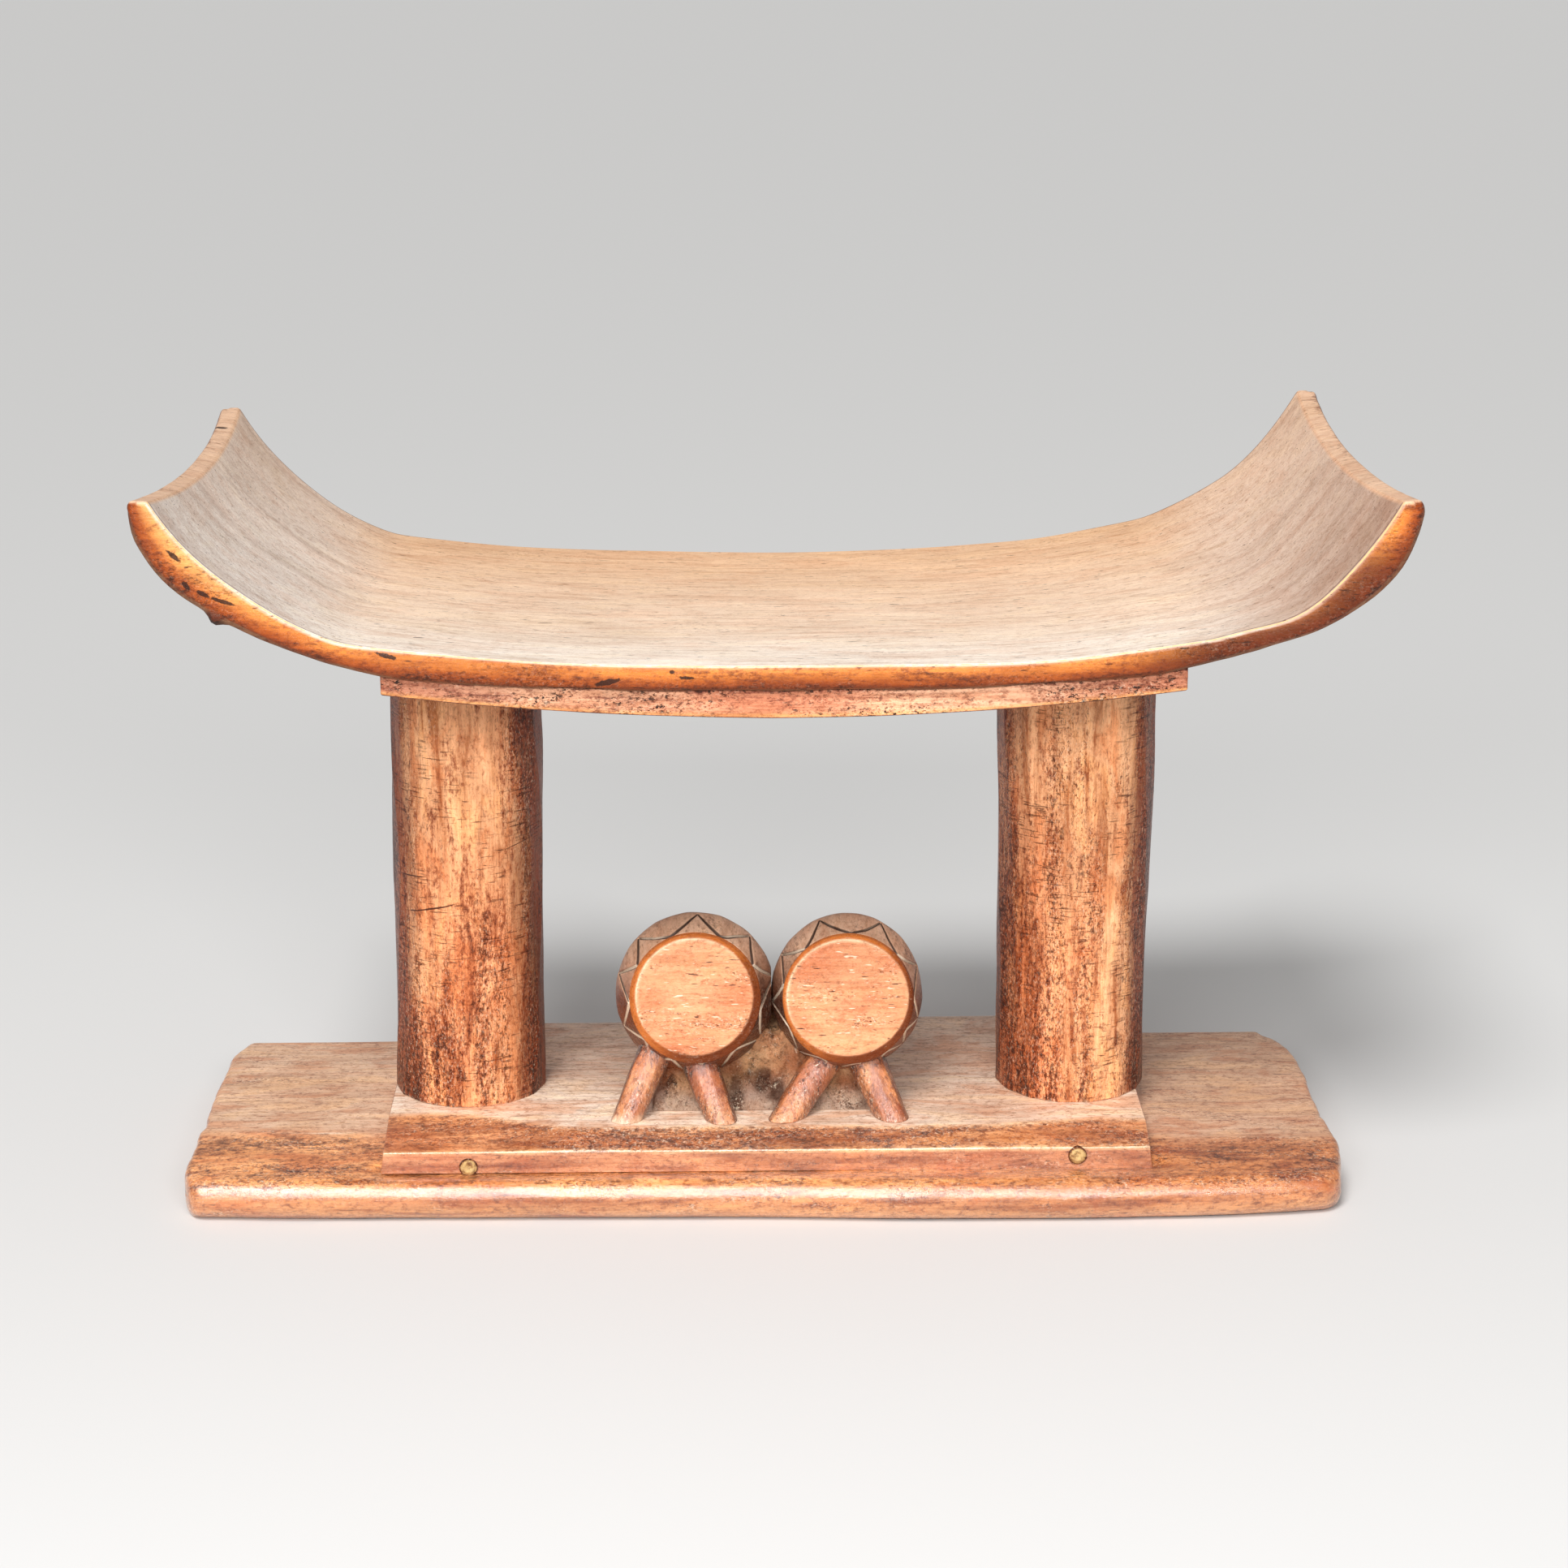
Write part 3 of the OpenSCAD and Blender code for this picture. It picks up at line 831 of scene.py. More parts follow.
def make_column(node, seed):
    low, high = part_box(node)
    middle = (low + high) / 2
    radius = (high.x - low.x) / 2
    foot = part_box("step_plate")[1].z - 0.2 * MM
    height = UNDER_MID + 0.5 * MM - foot
    rows = np.concatenate([[0.5, 1.2, 2], np.linspace(3.5, height / MM, 110)]) * MM
    profile = [(0, 0), (radius - 0.8 * MM, 0)]
    profile += [(radius - 0.2 * MM, h) for h in rows] + [(0, height)]
    points, faces = turned(profile, 200)
    piece = Piece(node.replace("column", "post"), points + np.array([middle.x, middle.y, foot]), faces)
    p = piece.points
    dx, dy = p[:, 0] - middle.x, p[:, 1] - middle.y
    angle = np.arctan2(dy, dx)
    up = (p[:, 2] - foot) / height
    wall = smooth(0.5, 0.9, np.hypot(dx, dy) / radius)
    flat = facet_wall(angle, p[:, 2], 15, seed, 0.08) * radius * 0.7
    lump = layered_noise(p, (0.05, 0.05, 0.09), seed + 1) * 0.9 * MM
    fine = layered_noise(p, (0.010, 0.010, 0.03), seed + 2) * 0.3 * MM
    chips = np.maximum(0, value_noise(p, (0.013, 0.013, 0.03), seed + 3) - 0.55) * 1.2 * MM
    left = middle.x < 0
    swell = (0.8 * (1 - smooth(0.0, 0.2, up)) - 0.5 if left else 2.0 * smooth(0.2, 1.0, up) - 0.1) * MM
    p = piece.push((lump + fine - flat - chips + swell) * wall)
    # the left post leans, and both end just inside the bearer's curved underside
    p[:, 0] += (3.4 * up - 1.7) * MM * left
    p[:, 2] = np.where(up > 0.8, np.minimum(p[:, 2], bearer_under(p[:, 0]) + 0.4 * MM), p[:, 2])
    piece.update()
    stain = layered_noise(p, (0.03, 0.03, 0.12), seed + 5)
    across = (p[:, 0] - middle.x) / radius
    # painted shade: both sides of each post are darkened, the left side less so on the right post, and
    # the dark mask rises there too
    shaded_side = smooth(0.5, 0.9, -across) * (0.9 if left else 0.35) + smooth(0.45, 0.9, across)
    shadow = smooth(0.88, 0.97, up)
    front = blend(srgb(253, 190, 140), srgb(240, 158, 108), smooth(-0.5, 0.6, stain))
    front = blend(front, srgb(112, 52, 24), shaded_side * 0.9)
    low_stain = 0.18 * (1 - smooth(0.05, 0.32, up))
    piece.paint(
        blend(front, srgb(120, 66, 38), shadow * 0.6),
        dark=0.42 + 0.5 * stain + 0.4 * shadow + 0.4 * shaded_side + low_stain,
        dust=0.2 + 0.25 * value_noise(p, (0.03, 0.03, 0.1), seed + 6),
        worn=0.6 * (1 - smooth(0.0, 0.01, up)),
    )
    piece.finish(node, COLUMN_WOOD)


# ---- base


NOSE = 10.5 * MM
# the base's front edge at a few places along it, in millimetres: it bows forwards on the right
FRONT_X = (-283, -243, -140, -22, 57, 144, 208, 239, 263, 275)
FRONT_Y = (-91.5, -94, -95.4, -97, -100.5, -101.5, -100, -98, -95, -92)


def base_front(x):
    """Where the base's front edge is."""
    return even_line(x / MM, FRONT_X, FRONT_Y, 9) * MM


def corner_cut(depth, radius):
    """How far a rounded corner lies back, this far in from the end."""
    inside = np.clip(radius - depth, 0, radius)
    return radius - math.sqrt(radius**2 - inside**2)


def base_crease(x):
    """Where the base's front slope begins: further back at the left end than at the right."""
    return -47.5 * MM - 0.034 * x


def base_section(front, back, crease, top, nose, low, back_lift):
    """The base's outline seen from its left end: a closed loop of (y, z) with rounded long edges."""
    turn = np.linspace(-math.pi / 2, math.pi / 2, 30)
    share = np.linspace(0, 1, 26)[1:-1]
    fall = back - 49 * MM
    under = np.linspace(back - nose, front + nose, 40)[:-1]
    flat = np.linspace(crease, fall, 52)
    height = top - 2 * nose
    back_top = 2 * nose + height * back_lift
    y = [under, front + nose - nose * np.cos(turn), front + nose + (crease - front - nose) * share, flat]
    y += [fall + (back - nose - fall) * share, back - nose + nose * np.cos(turn[::-1][:-1])]
    z = [under * 0, nose + nose * np.sin(turn), 2 * nose + height * share, flat * 0 + top]
    z += [top + (back_top - top) * share, (nose + nose * np.sin(turn[::-1][:-1])) * back_top / (2 * nose)]
    return np.concatenate(y), np.concatenate(z) + low


def base_end_rows(edge):
    """The loops that close an end and round its edge: (depth from the end, inset, share of height)."""
    shares = (0.004, 0.2, 0.4, 0.6, 0.8)
    rows = [(0.0, edge, share) for share in shares]
    for turn in np.radians([0, 18, 36, 54, 72]):
        rows.append((edge - edge * math.cos(turn), edge - edge * math.sin(turn), 1))
    return rows


def base_loops(low, high):
    """The base as loops: flat ends, edges rounded over 4 mm, and rounded front corners."""
    edge = 4 * MM
    rows = base_end_rows(edge) + [(d, 0.0, 1) for d in np.arange(edge, (high.x - low.x) / 2, 2 * MM)]
    columns = []
    for end, towards, corner in ((low.x, 1, 8 * MM), (high.x, -1, 14 * MM)):
        half = []
        for depth, inset, share in rows:
            x = end + towards * depth
            front = base_front(x) + corner_cut(depth, corner) + inset
            back = high.y - inset - corner_cut(depth, 6 * MM)
            lift = 0.55 + 0.4 * smooth(-0.1, 0.15, x)
            top = high.z - 2 * inset
            y, z = base_section(front, back, base_crease(x), top, NOSE - inset, inset, lift)
            half.append(np.stack([y * 0 + x, y, NOSE + (z - NOSE) * share], 1))
        columns += half if towards > 0 else half[::-1]
    return columns


def end_wear(p, reach, backward):
    """How far the base's ends are worn back: unevenly, with the back corners knocked off."""
    right = p[:, 0] > 0
    row = np.stack([np.sign(p[:, 0]) * 3.0, p[:, 1], p[:, 1] * 0], 1)
    ragged = layered_noise(row, (1, 0.03, 1), 31, 4) * 1.6 * MM
    notch = np.maximum(0, value_noise(row, (1, 0.013, 1), 35) - 0.3) * 3 * MM
    narrow = np.where(right, 3.2 * MM, 0.2 * MM - 2.2 * MM * smooth(-50 * MM, -85 * MM, p[:, 1]))
    chip = np.where(right, 13 * MM, 6.5 * MM) * smooth(0.5, 1.0, backward) ** 2
    return (ragged + notch + narrow + chip) * smooth(0.88, 1.0, reach)


def base_tint(p, upper, flat_top, crease, low_nose, end_edge):
    """A dusty top, an orange slope in front and a browner rounded edge, all darker to the right."""
    rightward = smooth(0, 0.28, p[:, 0])
    stain = smooth(-0.4, 0.6, layered_noise(p, 0.06, 40))
    dusty = blend(srgb(242, 204, 172), srgb(222, 174, 136), stain)
    dusty = blend(dusty, srgb(210, 158, 122), rightward * 0.5)
    slope = blend(srgb(250, 174, 112), srgb(208, 132, 80), rightward)
    tint = blend(slope, srgb(198, 126, 78), (1 - upper) * 0.8)
    tint = blend(tint, dusty, flat_top)
    tint = blend(tint, srgb(255, 226, 196), crease * 0.9)
    return blend(tint, srgb(226, 160, 106), np.maximum(low_nose * 0.8, end_edge * 0.6))


def make_base():
    low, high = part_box("base_board")
    middle, half = (low + high) / 2, (high - low) / 2
    piece = Piece("base_plank", *swept(base_loops(low, high)))
    p = piece.points
    above_floor = smooth(0.3 * MM, 1.5 * MM, p[:, 2])
    reach = np.abs(p[:, 0] - middle.x) / half.x
    wear = end_wear(p, reach, (p[:, 1] - middle.y) / half.y)
    p[:, 0] -= np.sign(p[:, 0] - middle.x) * wear
    piece.update()
    # a shallow hollow runs along the step's foot
    beside_step = smooth(0.2, 0.185, np.abs(p[:, 0] - middle.x)) * smooth(0.4, 0.8, p[:, 2] / high.z)
    p[:, 2] -= 2.4 * MM * bell(p[:, 1] + 77 * MM, 7.5 * MM) * beside_step
    wave = layered_noise(p, (0.12, 0.05, 0.05), 32) * 0.7 * MM
    rough = layered_noise(p, (0.03, 0.008, 0.008), 33) * 0.22 * MM
    p = piece.push((wave + rough) * above_floor)
    p[:, 2] = np.maximum(p[:, 2], 0)
    piece.update()

    upper = smooth(0.5, 0.9, piece.normals()[:, 2])
    before = p[:, 1] - base_crease(p[:, 0]) - 1.5 * MM * value_noise(p, (0.03, 1, 1), 37)
    flat_top = upper * smooth(-12 * MM, 12 * MM, before + 6 * MM * layered_noise(p, 0.02, 38))
    crease = bell(before, 0.7 * MM) * upper * smooth(-0.5, 0.1, value_noise(p, 0.02, 39))
    end_edge = smooth(0.985, 1.0, reach) * smooth(0.3, 0.8, p[:, 2] / high.z)
    low_nose = (1 - upper) * smooth(12 * MM, 5 * MM, p[:, 2])
    dirt = 0.2 * layered_noise(p, 0.05, 36)
    piece.paint(
        base_tint(p, upper, flat_top, crease, low_nose, end_edge),
        dust=0.9 * flat_top + 0.1 * upper,
        dark=0.3 + 0.35 * upper * (1 - flat_top) + dirt - 0.15 * flat_top,
        worn=0.6 * crease + 0.35 * end_edge + 0.2 * low_nose,
    )
    piece.finish("base_board", BASE_WOOD)


STEP_EDGE_Z = 31 * MM


def step_crease(x):
    """Where the step's bevel begins: near the front in the middle, and further back at both ends."""
    return (-66 + 20 * smooth(90, 170, -x / MM) + 7 * smooth(90, 165, x / MM)) * MM


def step_points(points, low, high, wobble):
    """The step's points, from those of a box: its bevel falls to the front, its back edge runs askew."""
    half = (high - low) / 2
    x, y, z = (points + np.array((low + high) / 2)).T
    share = (z - low.z) / (high.z - low.z)
    run = np.clip((y - low.y) / (step_crease(x) + wobble - low.y), 0, 1)
    back_run = np.clip((high.y - y) / (4 * MM), 0, 1)
    ceiling = STEP_EDGE_Z + (high.z - STEP_EDGE_Z) * run**0.94
    ceiling = np.minimum(ceiling, high.z - 1 * MM * (1 - back_run))
    askew = 6 * MM * smooth(-0.06, 0.1, x) * smooth(0.3, 1.0, points[:, 1] / half.y)
    lean = 1.4 * MM * smooth(0.97, 1.0, np.abs(points[:, 0]) / half.x) * share
    longer = 2 * MM * smooth(0.5, 1.0, -points[:, 0] / half.x)
    placed = [x - np.sign(points[:, 0]) * lean - longer, y + askew, low.z + (ceiling - low.z) * share]
    return np.stack(placed, 1), share


def step_tint(p, is_flat, is_bevel, pale_edge):
    """A dusty top, a browner bevel and an orange front face, with pale edges."""
    dusty = blend(srgb(255, 232, 210), srgb(246, 208, 178), smooth(-0.4, 0.5, layered_noise(p, 0.04, 44)))
    # painted shade: the top browns towards the back, where the stool above shades it
    dusty = blend(dusty, srgb(222, 182, 154), smooth(-40 * MM, 20 * MM, p[:, 1]) * 0.6)
    stain = smooth(-0.3, 0.6, layered_noise(p, (0.05, 0.01, 0.01), 45))
    bevel = blend(srgb(196, 126, 82), srgb(232, 166, 116), stain)
    stain = smooth(-0.4, 0.5, layered_noise(p, (0.06, 0.01, 0.01), 46))
    face = blend(srgb(226, 154, 108), srgb(194, 122, 80), stain)
    tint = blend(blend(face, bevel, is_bevel), dusty, is_flat)
    return blend(tint, srgb(244, 196, 146), pale_edge)


def make_step():
    low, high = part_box("step_plate")
    middle = (low + high) / 2
    points, faces = round_box((high - low) / 2, (2.4 * MM, 1.6 * MM, 1.4 * MM), 0.7 * MM, 0.4 * MM)
    x = points[:, 0] + middle.x
    wobble = 1.2 * MM * value_noise(np.stack([x, x * 0, x * 0], 1), 0.03, 43)
    placed, share = step_points(points, low, high, wobble)
    piece = Piece("step_slab", placed, faces)
    p = piece.points
    wave = layered_noise(p, (0.1, 0.05, 0.05), 41) * 0.4 * MM
    rough = layered_noise(p, (0.03, 0.007, 0.007), 42) * 0.14 * MM
    p = piece.push((wave + rough) * smooth(0.1, 0.4, share))

    up = piece.normals()[:, 2]
    crease = p[:, 1] - step_crease(p[:, 0]) - wobble
    is_flat = smooth(0.8, 0.96, up) * smooth(-2.5 * MM, 2.5 * MM, crease)
    is_bevel = smooth(0.4, 0.7, up) * (1 - is_flat)
    # painted highlight: a pale line along the step's front edge, where the bevel meets the face; it also
    # raises the worn mask
    lip = bell(p[:, 1] - low.y - 0.3 * MM, 0.5 * MM) * smooth(0.8, 0.95, share)
    # painted shade: near the legs the bevel's dark mask rises
    near_legs = bell(p[:, 0] - middle.x, 80 * MM, 4)
    ridge = bell(crease, 1.6 * MM) * smooth(0.6, 0.9, up)
    piece.paint(
        step_tint(p, is_flat, is_bevel, np.maximum(lip, 0.5 * ridge)),
        dust=is_flat * 0.9 + is_bevel * 0.3,
        dark=0.32 + 0.3 * is_bevel - 0.2 * is_flat - 0.3 * lip + 0.25 * near_legs * is_bevel,
        worn=0.55 * lip + 0.3 * ridge + 0.2 * near_legs * is_flat,
    )
    piece.finish("step_plate", BASE_WOOD)


# the middle of each peg's end: the two weren't drilled quite level
PEG_PLACES = ((-151 * MM, 23.4 * MM), (147 * MM, 26.9 * MM))


def make_pegs():
    low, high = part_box("tenon_pegs")
    radius = 4.6 * MM
    length = high.y - low.y
    front = 0.5 * MM
    points, faces = [], []
    for middle_x, middle_z in PEG_PLACES:
        rings = [(radius * f, -front + 0.35 * MM * math.sin(9 * f)) for f in np.linspace(0.08, 0.8, 12)]
        rings += [(radius - 0.3 * MM, -front), (radius, -front + 0.5 * MM)]
        rings += [(radius, 3 * MM), (radius, length)]
        one, sides = turned([(0, -front)] + rings + [(0, length)], 48)
        across = np.stack([one[:, 0] + middle_x, low.y + one[:, 2], one[:, 1] + middle_z], 1)
        faces += [tuple(len(points) + v for v in reversed(f)) for f in sides]
        points += across.tolist()
    piece = Piece("peg_pair", points, faces)
    p = piece.points
    away = [np.hypot(p[:, 0] - peg_x, p[:, 2] - peg_z) for peg_x, peg_z in PEG_PLACES]
    near = np.min(away, axis=0) / radius
    piece.paint(
        blend(srgb(224, 188, 128), srgb(150, 100, 52), smooth(0.7, 0.95, near)),
        dust=0.5,
        dark=0.5 + 0.5 * smooth(0.75, 1.0, near) + 0.2 * value_noise(p, 0.0015, 47),
        worn=0.3 * (1 - near),
    )
    piece.finish("tenon_pegs", PEG_WOOD)


# ---- drums

SIDE_NAMES = {-1: "left", 1: "right"}
DRUM_TILT = math.radians(13)
DRUM_FACE_Y = -50.5 * MM
DRUM_FACE_Z = {-1: 99.4 * MM, 1: 98.4 * MM}
HEAD_T = 5 * MM
HOOP_R = 32.4 * MM
BULGE_R = {-1: 39.9 * MM, 1: 38.0 * MM}
CROWN = {-1: 0.3 * MM, 1: 2.2 * MM}
BULGE_AT = 22 * MM
BARREL_END = 48 * MM
DRUM_LENGTH = 71.6 * MM
SHOULDER_POWER = 1.3
TOOTH_END = 20 * MM
# where each drum's carved teeth point outwards, in degrees round from the right
TOOTH_POINTS = {
    -1: (12, 46, 88, 136, 165, 204, 236, 262, 288, 325),
    1: (21, 63, 111, 150, 185, 229, 262, 292, 318, 341),
}


def drum_place(side):
    """The middle of a drum's face, and the turn that points a drum's own Z backwards."""
    low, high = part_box(SIDE_NAMES[side] + "_drum_head")
    turn = Euler((-math.pi / 2 - DRUM_TILT, 0, 0)).to_matrix()
    return Vector(((low.x + high.x) / 2, DRUM_FACE_Y, DRUM_FACE_Z[side])), turn


def to_drum(points, side):
    """Points with Z running back from a drum's shoulder, moved into the stool."""
    start, turn = drum_place(side)
    return (points + np.array([0, 0, HEAD_T])) @ np.array(turn).T + np.array(start)


def drum_radius(s, side):
    """Radius of a drum behind its head: a sloping shoulder, a bulged barrel, and a stem."""
    bulge = BULGE_R[side]
    shoulder = bulge - (bulge - HOOP_R) * (1 - np.clip(s / BULGE_AT, 0, 1)) ** SHOULDER_POWER
    barrel = bulge - 5 * MM * np.clip((s - BULGE_AT) / (BARREL_END - BULGE_AT), 0, 1) ** 2
    stem = bulge - 5 * MM - 13 * MM * np.clip((s - BARREL_END) / (24 * MM), 0, 1)
    return np.where(s < BULGE_AT, shoulder, np.where(s < BARREL_END, barrel, stem))


def tooth_distance(angle, s, side):
    """Signed distance, in millimetres, from the line that zigzags round the shoulder."""
    turns = np.radians(TOOTH_POINTS[side])
    turns = np.concatenate([[turns[-1] - 2 * math.pi], turns, [turns[0] + 2 * math.pi]])
    place = np.interp(angle % (2 * math.pi), turns, np.arange(len(turns)))
    half_gap = np.diff(turns)[np.clip(place.astype(int), 0, len(turns) - 2)] / 2
    outward = np.abs(2 * (place % 1) - 1)
    # each side of a tooth is straight when seen from the front
    inner_r, outer_r = drum_radius(np.array([0.3 * MM, TOOTH_END]), side)
    turned_by = half_gap * outward
    chord = inner_r * np.sin(turned_by) + outer_r * np.sin(half_gap - turned_by)
    r = inner_r * outer_r * np.sin(half_gap) / chord
    depth = np.clip((BULGE_R[side] - r) / (BULGE_R[side] - HOOP_R), 0, 1)
    target = BULGE_AT * (1 - depth ** (1 / SHOULDER_POWER))
    run = half_gap * 36 * MM
    return (s - target) * run / np.hypot(run, TOOTH_END) / MM


def make_drum_body(side):
    name = SIDE_NAMES[side] + "_drum_body"
    rows = np.concatenate([np.linspace(0, 21.5, 72), np.linspace(22.2, 71.4, 40)]) * MM
    profile = [(0, 0)] + [(float(drum_radius(s, side)), s) for s in rows] + [(0, DRUM_LENGTH)]
    points, faces = turned(profile, 440)
    angle = np.arctan2(-points[:, 1], points[:, 0])
    s = points[:, 2].copy()
    on_wall = smooth(10 * MM, 18 * MM, np.hypot(points[:, 0], points[:, 1]))
    # the barrel's top is carved a little fuller than its sides
    crown = CROWN[side] * smooth(0, BULGE_AT, s) * smooth(72 * MM, 45 * MM, s)
    points[:, 1] -= crown * np.clip(np.sin(angle), 0, 1)
    piece = Piece(name.replace("body", "barrel"), to_drum(points, side), faces)
    p = piece.points
    away = tooth_distance(angle, s + 0.5 * MM * value_noise(p, 0.006, 51 + side), side)
    past = smooth(TOOTH_END + 0.4 * MM, TOOTH_END + 1.2 * MM, s)
    groove = (1 - smooth(0.1, 1.1, np.abs(away))) * on_wall * (1 - past)
    lump = layered_noise(p, 0.035, 52 + side) * 0.5 * MM
    flat = facet_wall(angle, s, 15, 55 + side, 0.05) * BULGE_R[side] * 0.22 * smooth(0, 8 * MM, s)
    fine = layered_noise(p, 0.007, 57 + side) * 0.14 * MM
    p = piece.push((lump + fine - flat) * on_wall - groove * 0.9 * MM)
    # the two drums meet at a flat between them
    between = (drum_place(-1)[0].x + drum_place(1)[0].x) / 2
    p[:, 0] = np.minimum(p[:, 0], between) if side < 0 else np.maximum(p[:, 0], between)
    piece.update()
    upper = smooth(-0.1, 0.75, piece.normals()[:, 2])
    # painted shade between the two drums: the sides facing the other drum, below the top, are darkened
    shade_between_drums = smooth(0.3, 0.9, -np.cos(angle) * side) * (1 - upper)
    shell = blend(srgb(128, 64, 32), srgb(228, 184, 152), upper)
    shell = blend(shell, srgb(92, 48, 30), shade_between_drums * 0.8)
    bare = smooth(0.2, 0.8, value_noise(p, 0.018, 64)) * (1 - upper)
    piece.paint(
        blend(shell, srgb(186, 106, 60), bare * 0.7),
        cut=away * 0.85 + 10 * past,
        upper=smooth(0.6, 0.9, upper),
        dust=0.15 + 0.6 * upper,
        dark=0.4 + 0.3 * value_noise(p, 0.015, 62) + 0.25 * shade_between_drums - 0.15 * upper,
        worn=0.25 * smooth(0.5, 0.9, value_noise(p, 0.006, 63)),
    )
    piece.finish(name, DRUM_WOOD)


def make_drum_head(side):
    name = SIDE_NAMES[side] + "_drum_head"
    face = 29 * MM
    front = -HEAD_T + 0.3 * MM
    profile = [(0, front - 0.3 * MM)]
    profile += [(face * f, front - 0.3 * MM * (1 - f**2)) for f in np.linspace(0.05, 0.93, 30)]
    profile += [(face - 0.9 * MM, front), (face - 0.4 * MM, front + 0.2 * MM), (face, front + 0.6 * MM)]
    for share in np.linspace(0.12, 1, 9):
        slope = 0.6 * MM + 3.2 * MM * share**1.3
        profile.append((face + (HOOP_R - face) * share, front + slope))
    profile += [(HOOP_R, -0.3 * MM), (HOOP_R - 0.5 * MM, 0), (HOOP_R - 2 * MM, 0.1 * MM), (0, 0.1 * MM)]
    points, faces = turned(profile, 240)
    radius = np.hypot(points[:, 0], points[:, 1])
    angle = np.arctan2(-points[:, 1], points[:, 0])
    height = points[:, 2].copy()
    # the face sits a little high on its hoop, and the right one is wider than it is tall
    forward = smooth(1, 3, -height / MM)
    points[:, 1] -= 0.9 * MM * forward
    points[:, 0] -= 0.4 * MM * forward
    points[:, 0] *= 1 + 0.04 * (side > 0) * forward
    piece = Piece(name.replace("head", "skin"), to_drum(points, side), faces)
    p = piece.points
    wave = layered_noise(p, 0.02, 71 + side) * 0.25 * MM
    chatter = value_noise(p, (0.014, 0.02, 0.0024), 73 + side) * 0.07 * MM
    piece.push((wave + chatter) * smooth(0, 0.2, -height / HEAD_T))
    ring = smooth(face - 0.5 * MM, face + 0.3 * MM, radius)
    lit = bell(radius - face + 0.4 * MM, 0.5 * MM) * (height < -3 * MM)
    lit *= 0.15 + smooth(-0.2, 0.8, np.cos(angle - 2.3))
    skin = blend(srgb(239, 168, 122), srgb(222, 138, 94), smooth(-0.4, 0.6, layered_noise(p, 0.02, 75)))
    # painted shade: the hoop is orange on one side and darkens round to the other
    hoop = blend(srgb(206, 118, 54), srgb(122, 58, 24), smooth(-0.3, 0.8, np.cos(angle + 0.7)))
    piece.paint(
        blend(blend(skin, hoop, ring), srgb(255, 222, 182), lit * 0.9),
        plain=0.8 * ring,
        dust=0.35 * (1 - ring),
        worn=0.3 * lit,
        dark=0.3 + 0.3 * ring,
    )
    piece.finish(name, FACE_WOOD)


# each leg: its drum's side, its foot (x, y) and top (x, y, z) from the drum's middle, and its thickness
# in millimetres
LEGS = {
    "left_drum_outer_leg": (-1, (-34, -54), (-18, -37, 72), 17.5),
    "left_drum_inner_leg": (-1, (12, -55), (0.5, -39, 65), 18),
    "right_drum_inner_leg": (1, (-30, -53), (-6, -33, 69), 18),
    "right_drum_outer_leg": (1, (21, -53), (7.5, -37, 66), 19),
}


def make_leg(node, seed):
    side, foot_xy, top, thick = LEGS[node]
    start = drum_place(side)[0]
    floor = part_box(node)[0].z
    foot = Vector((start.x + foot_xy[0] * MM, foot_xy[1] * MM, floor))
    head = Vector((start.x + top[0] * MM, top[1] * MM, top[2] * MM))
    run = head - foot
    length = run.length
    radius = thick / 2 * MM
    rows = np.linspace(0, 1, 60)
    profile = [(0, 0)] + [(radius * (0.86 + 0.18 * r), r * length) for r in rows] + [(0, length)]
    points, faces = turned(profile, 96)
    angle = np.arctan2(points[:, 1], points[:, 0])
    height = points[:, 2].copy()
    on_wall = smooth(0.5, 0.8, np.hypot(points[:, 0], points[:, 1]) / radius)
    turn = np.array(run.to_track_quat("Z", "Y").to_matrix())
    # the foot is cut off level with the step
    cut = -(turn[2, 0] * points[:, 0] + turn[2, 1] * points[:, 1]) / turn[2, 2]
    points[:, 2] = cut * (1 - height / length) + height
    piece = Piece(node.replace("leg", "prop"), points @ turn.T + np.array(foot), faces)
    p = piece.points
    flat = facet_wall(angle, height, 9, seed, 0.03) * radius * 0.45
    lump = layered_noise(p, (0.008, 0.008, 0.02), seed + 1) * 0.5 * MM
    p = piece.push((lump - flat) * on_wall)
    p[:, 2] = np.maximum(p[:, 2], floor + 0.1 * MM)
    piece.update()
    up = height / length
    low_end = 1 - smooth(0.0, 0.16, up)
    pale_foot = 1.0 if node == "left_drum_outer_leg" else 0.15
    # painted shade: the leg darkens on its sides, where they turn away to the left and right, and the
    # dark mask rises there too
    shaded_side = smooth(0.5, 1.0, np.abs(piece.normals()[:, 0]))
    bark = smooth(-0.4, 0.5, value_noise(p, (0.01, 0.01, 0.03), seed + 5))
    bark = blend(srgb(228, 152, 98), srgb(190, 108, 64), bark)
    bark = blend(bark, srgb(112, 60, 34), shaded_side * 0.85)
    piece.paint(
        blend(bark, srgb(246, 214, 184), low_end * pale_foot),
        dust=0.6 * pale_foot * low_end + 0.1,
        worn=0.35 * low_end * pale_foot,
        dark=0.4 + 0.4 * shaded_side + 0.4 * smooth(0.6, 0.9, up) - 0.3 * low_end * pale_foot,
    )
    piece.finish(node, LEG_WOOD)


def below_drums(x, y, ceiling):
    """The height that the cradle reaches: up to its box's top, or just into the drums."""
    for side in SIDE_NAMES:
        start = drum_place(side)[0]
        s = (y - start.y) / math.cos(DRUM_TILT) - HEAD_T
        axis_z = start.z - (y - start.y) * math.tan(DRUM_TILT)
        r = drum_radius(np.clip(s, 0, DRUM_LENGTH), side) - 1.5 * MM
        half_chord = np.sqrt(np.maximum(r**2 - (x - start.x) ** 2, 0))
        under = axis_z - half_chord / math.cos(DRUM_TILT)
        ceiling = np.where(np.abs(x - start.x) < r, np.minimum(ceiling, under), ceiling)
    return ceiling


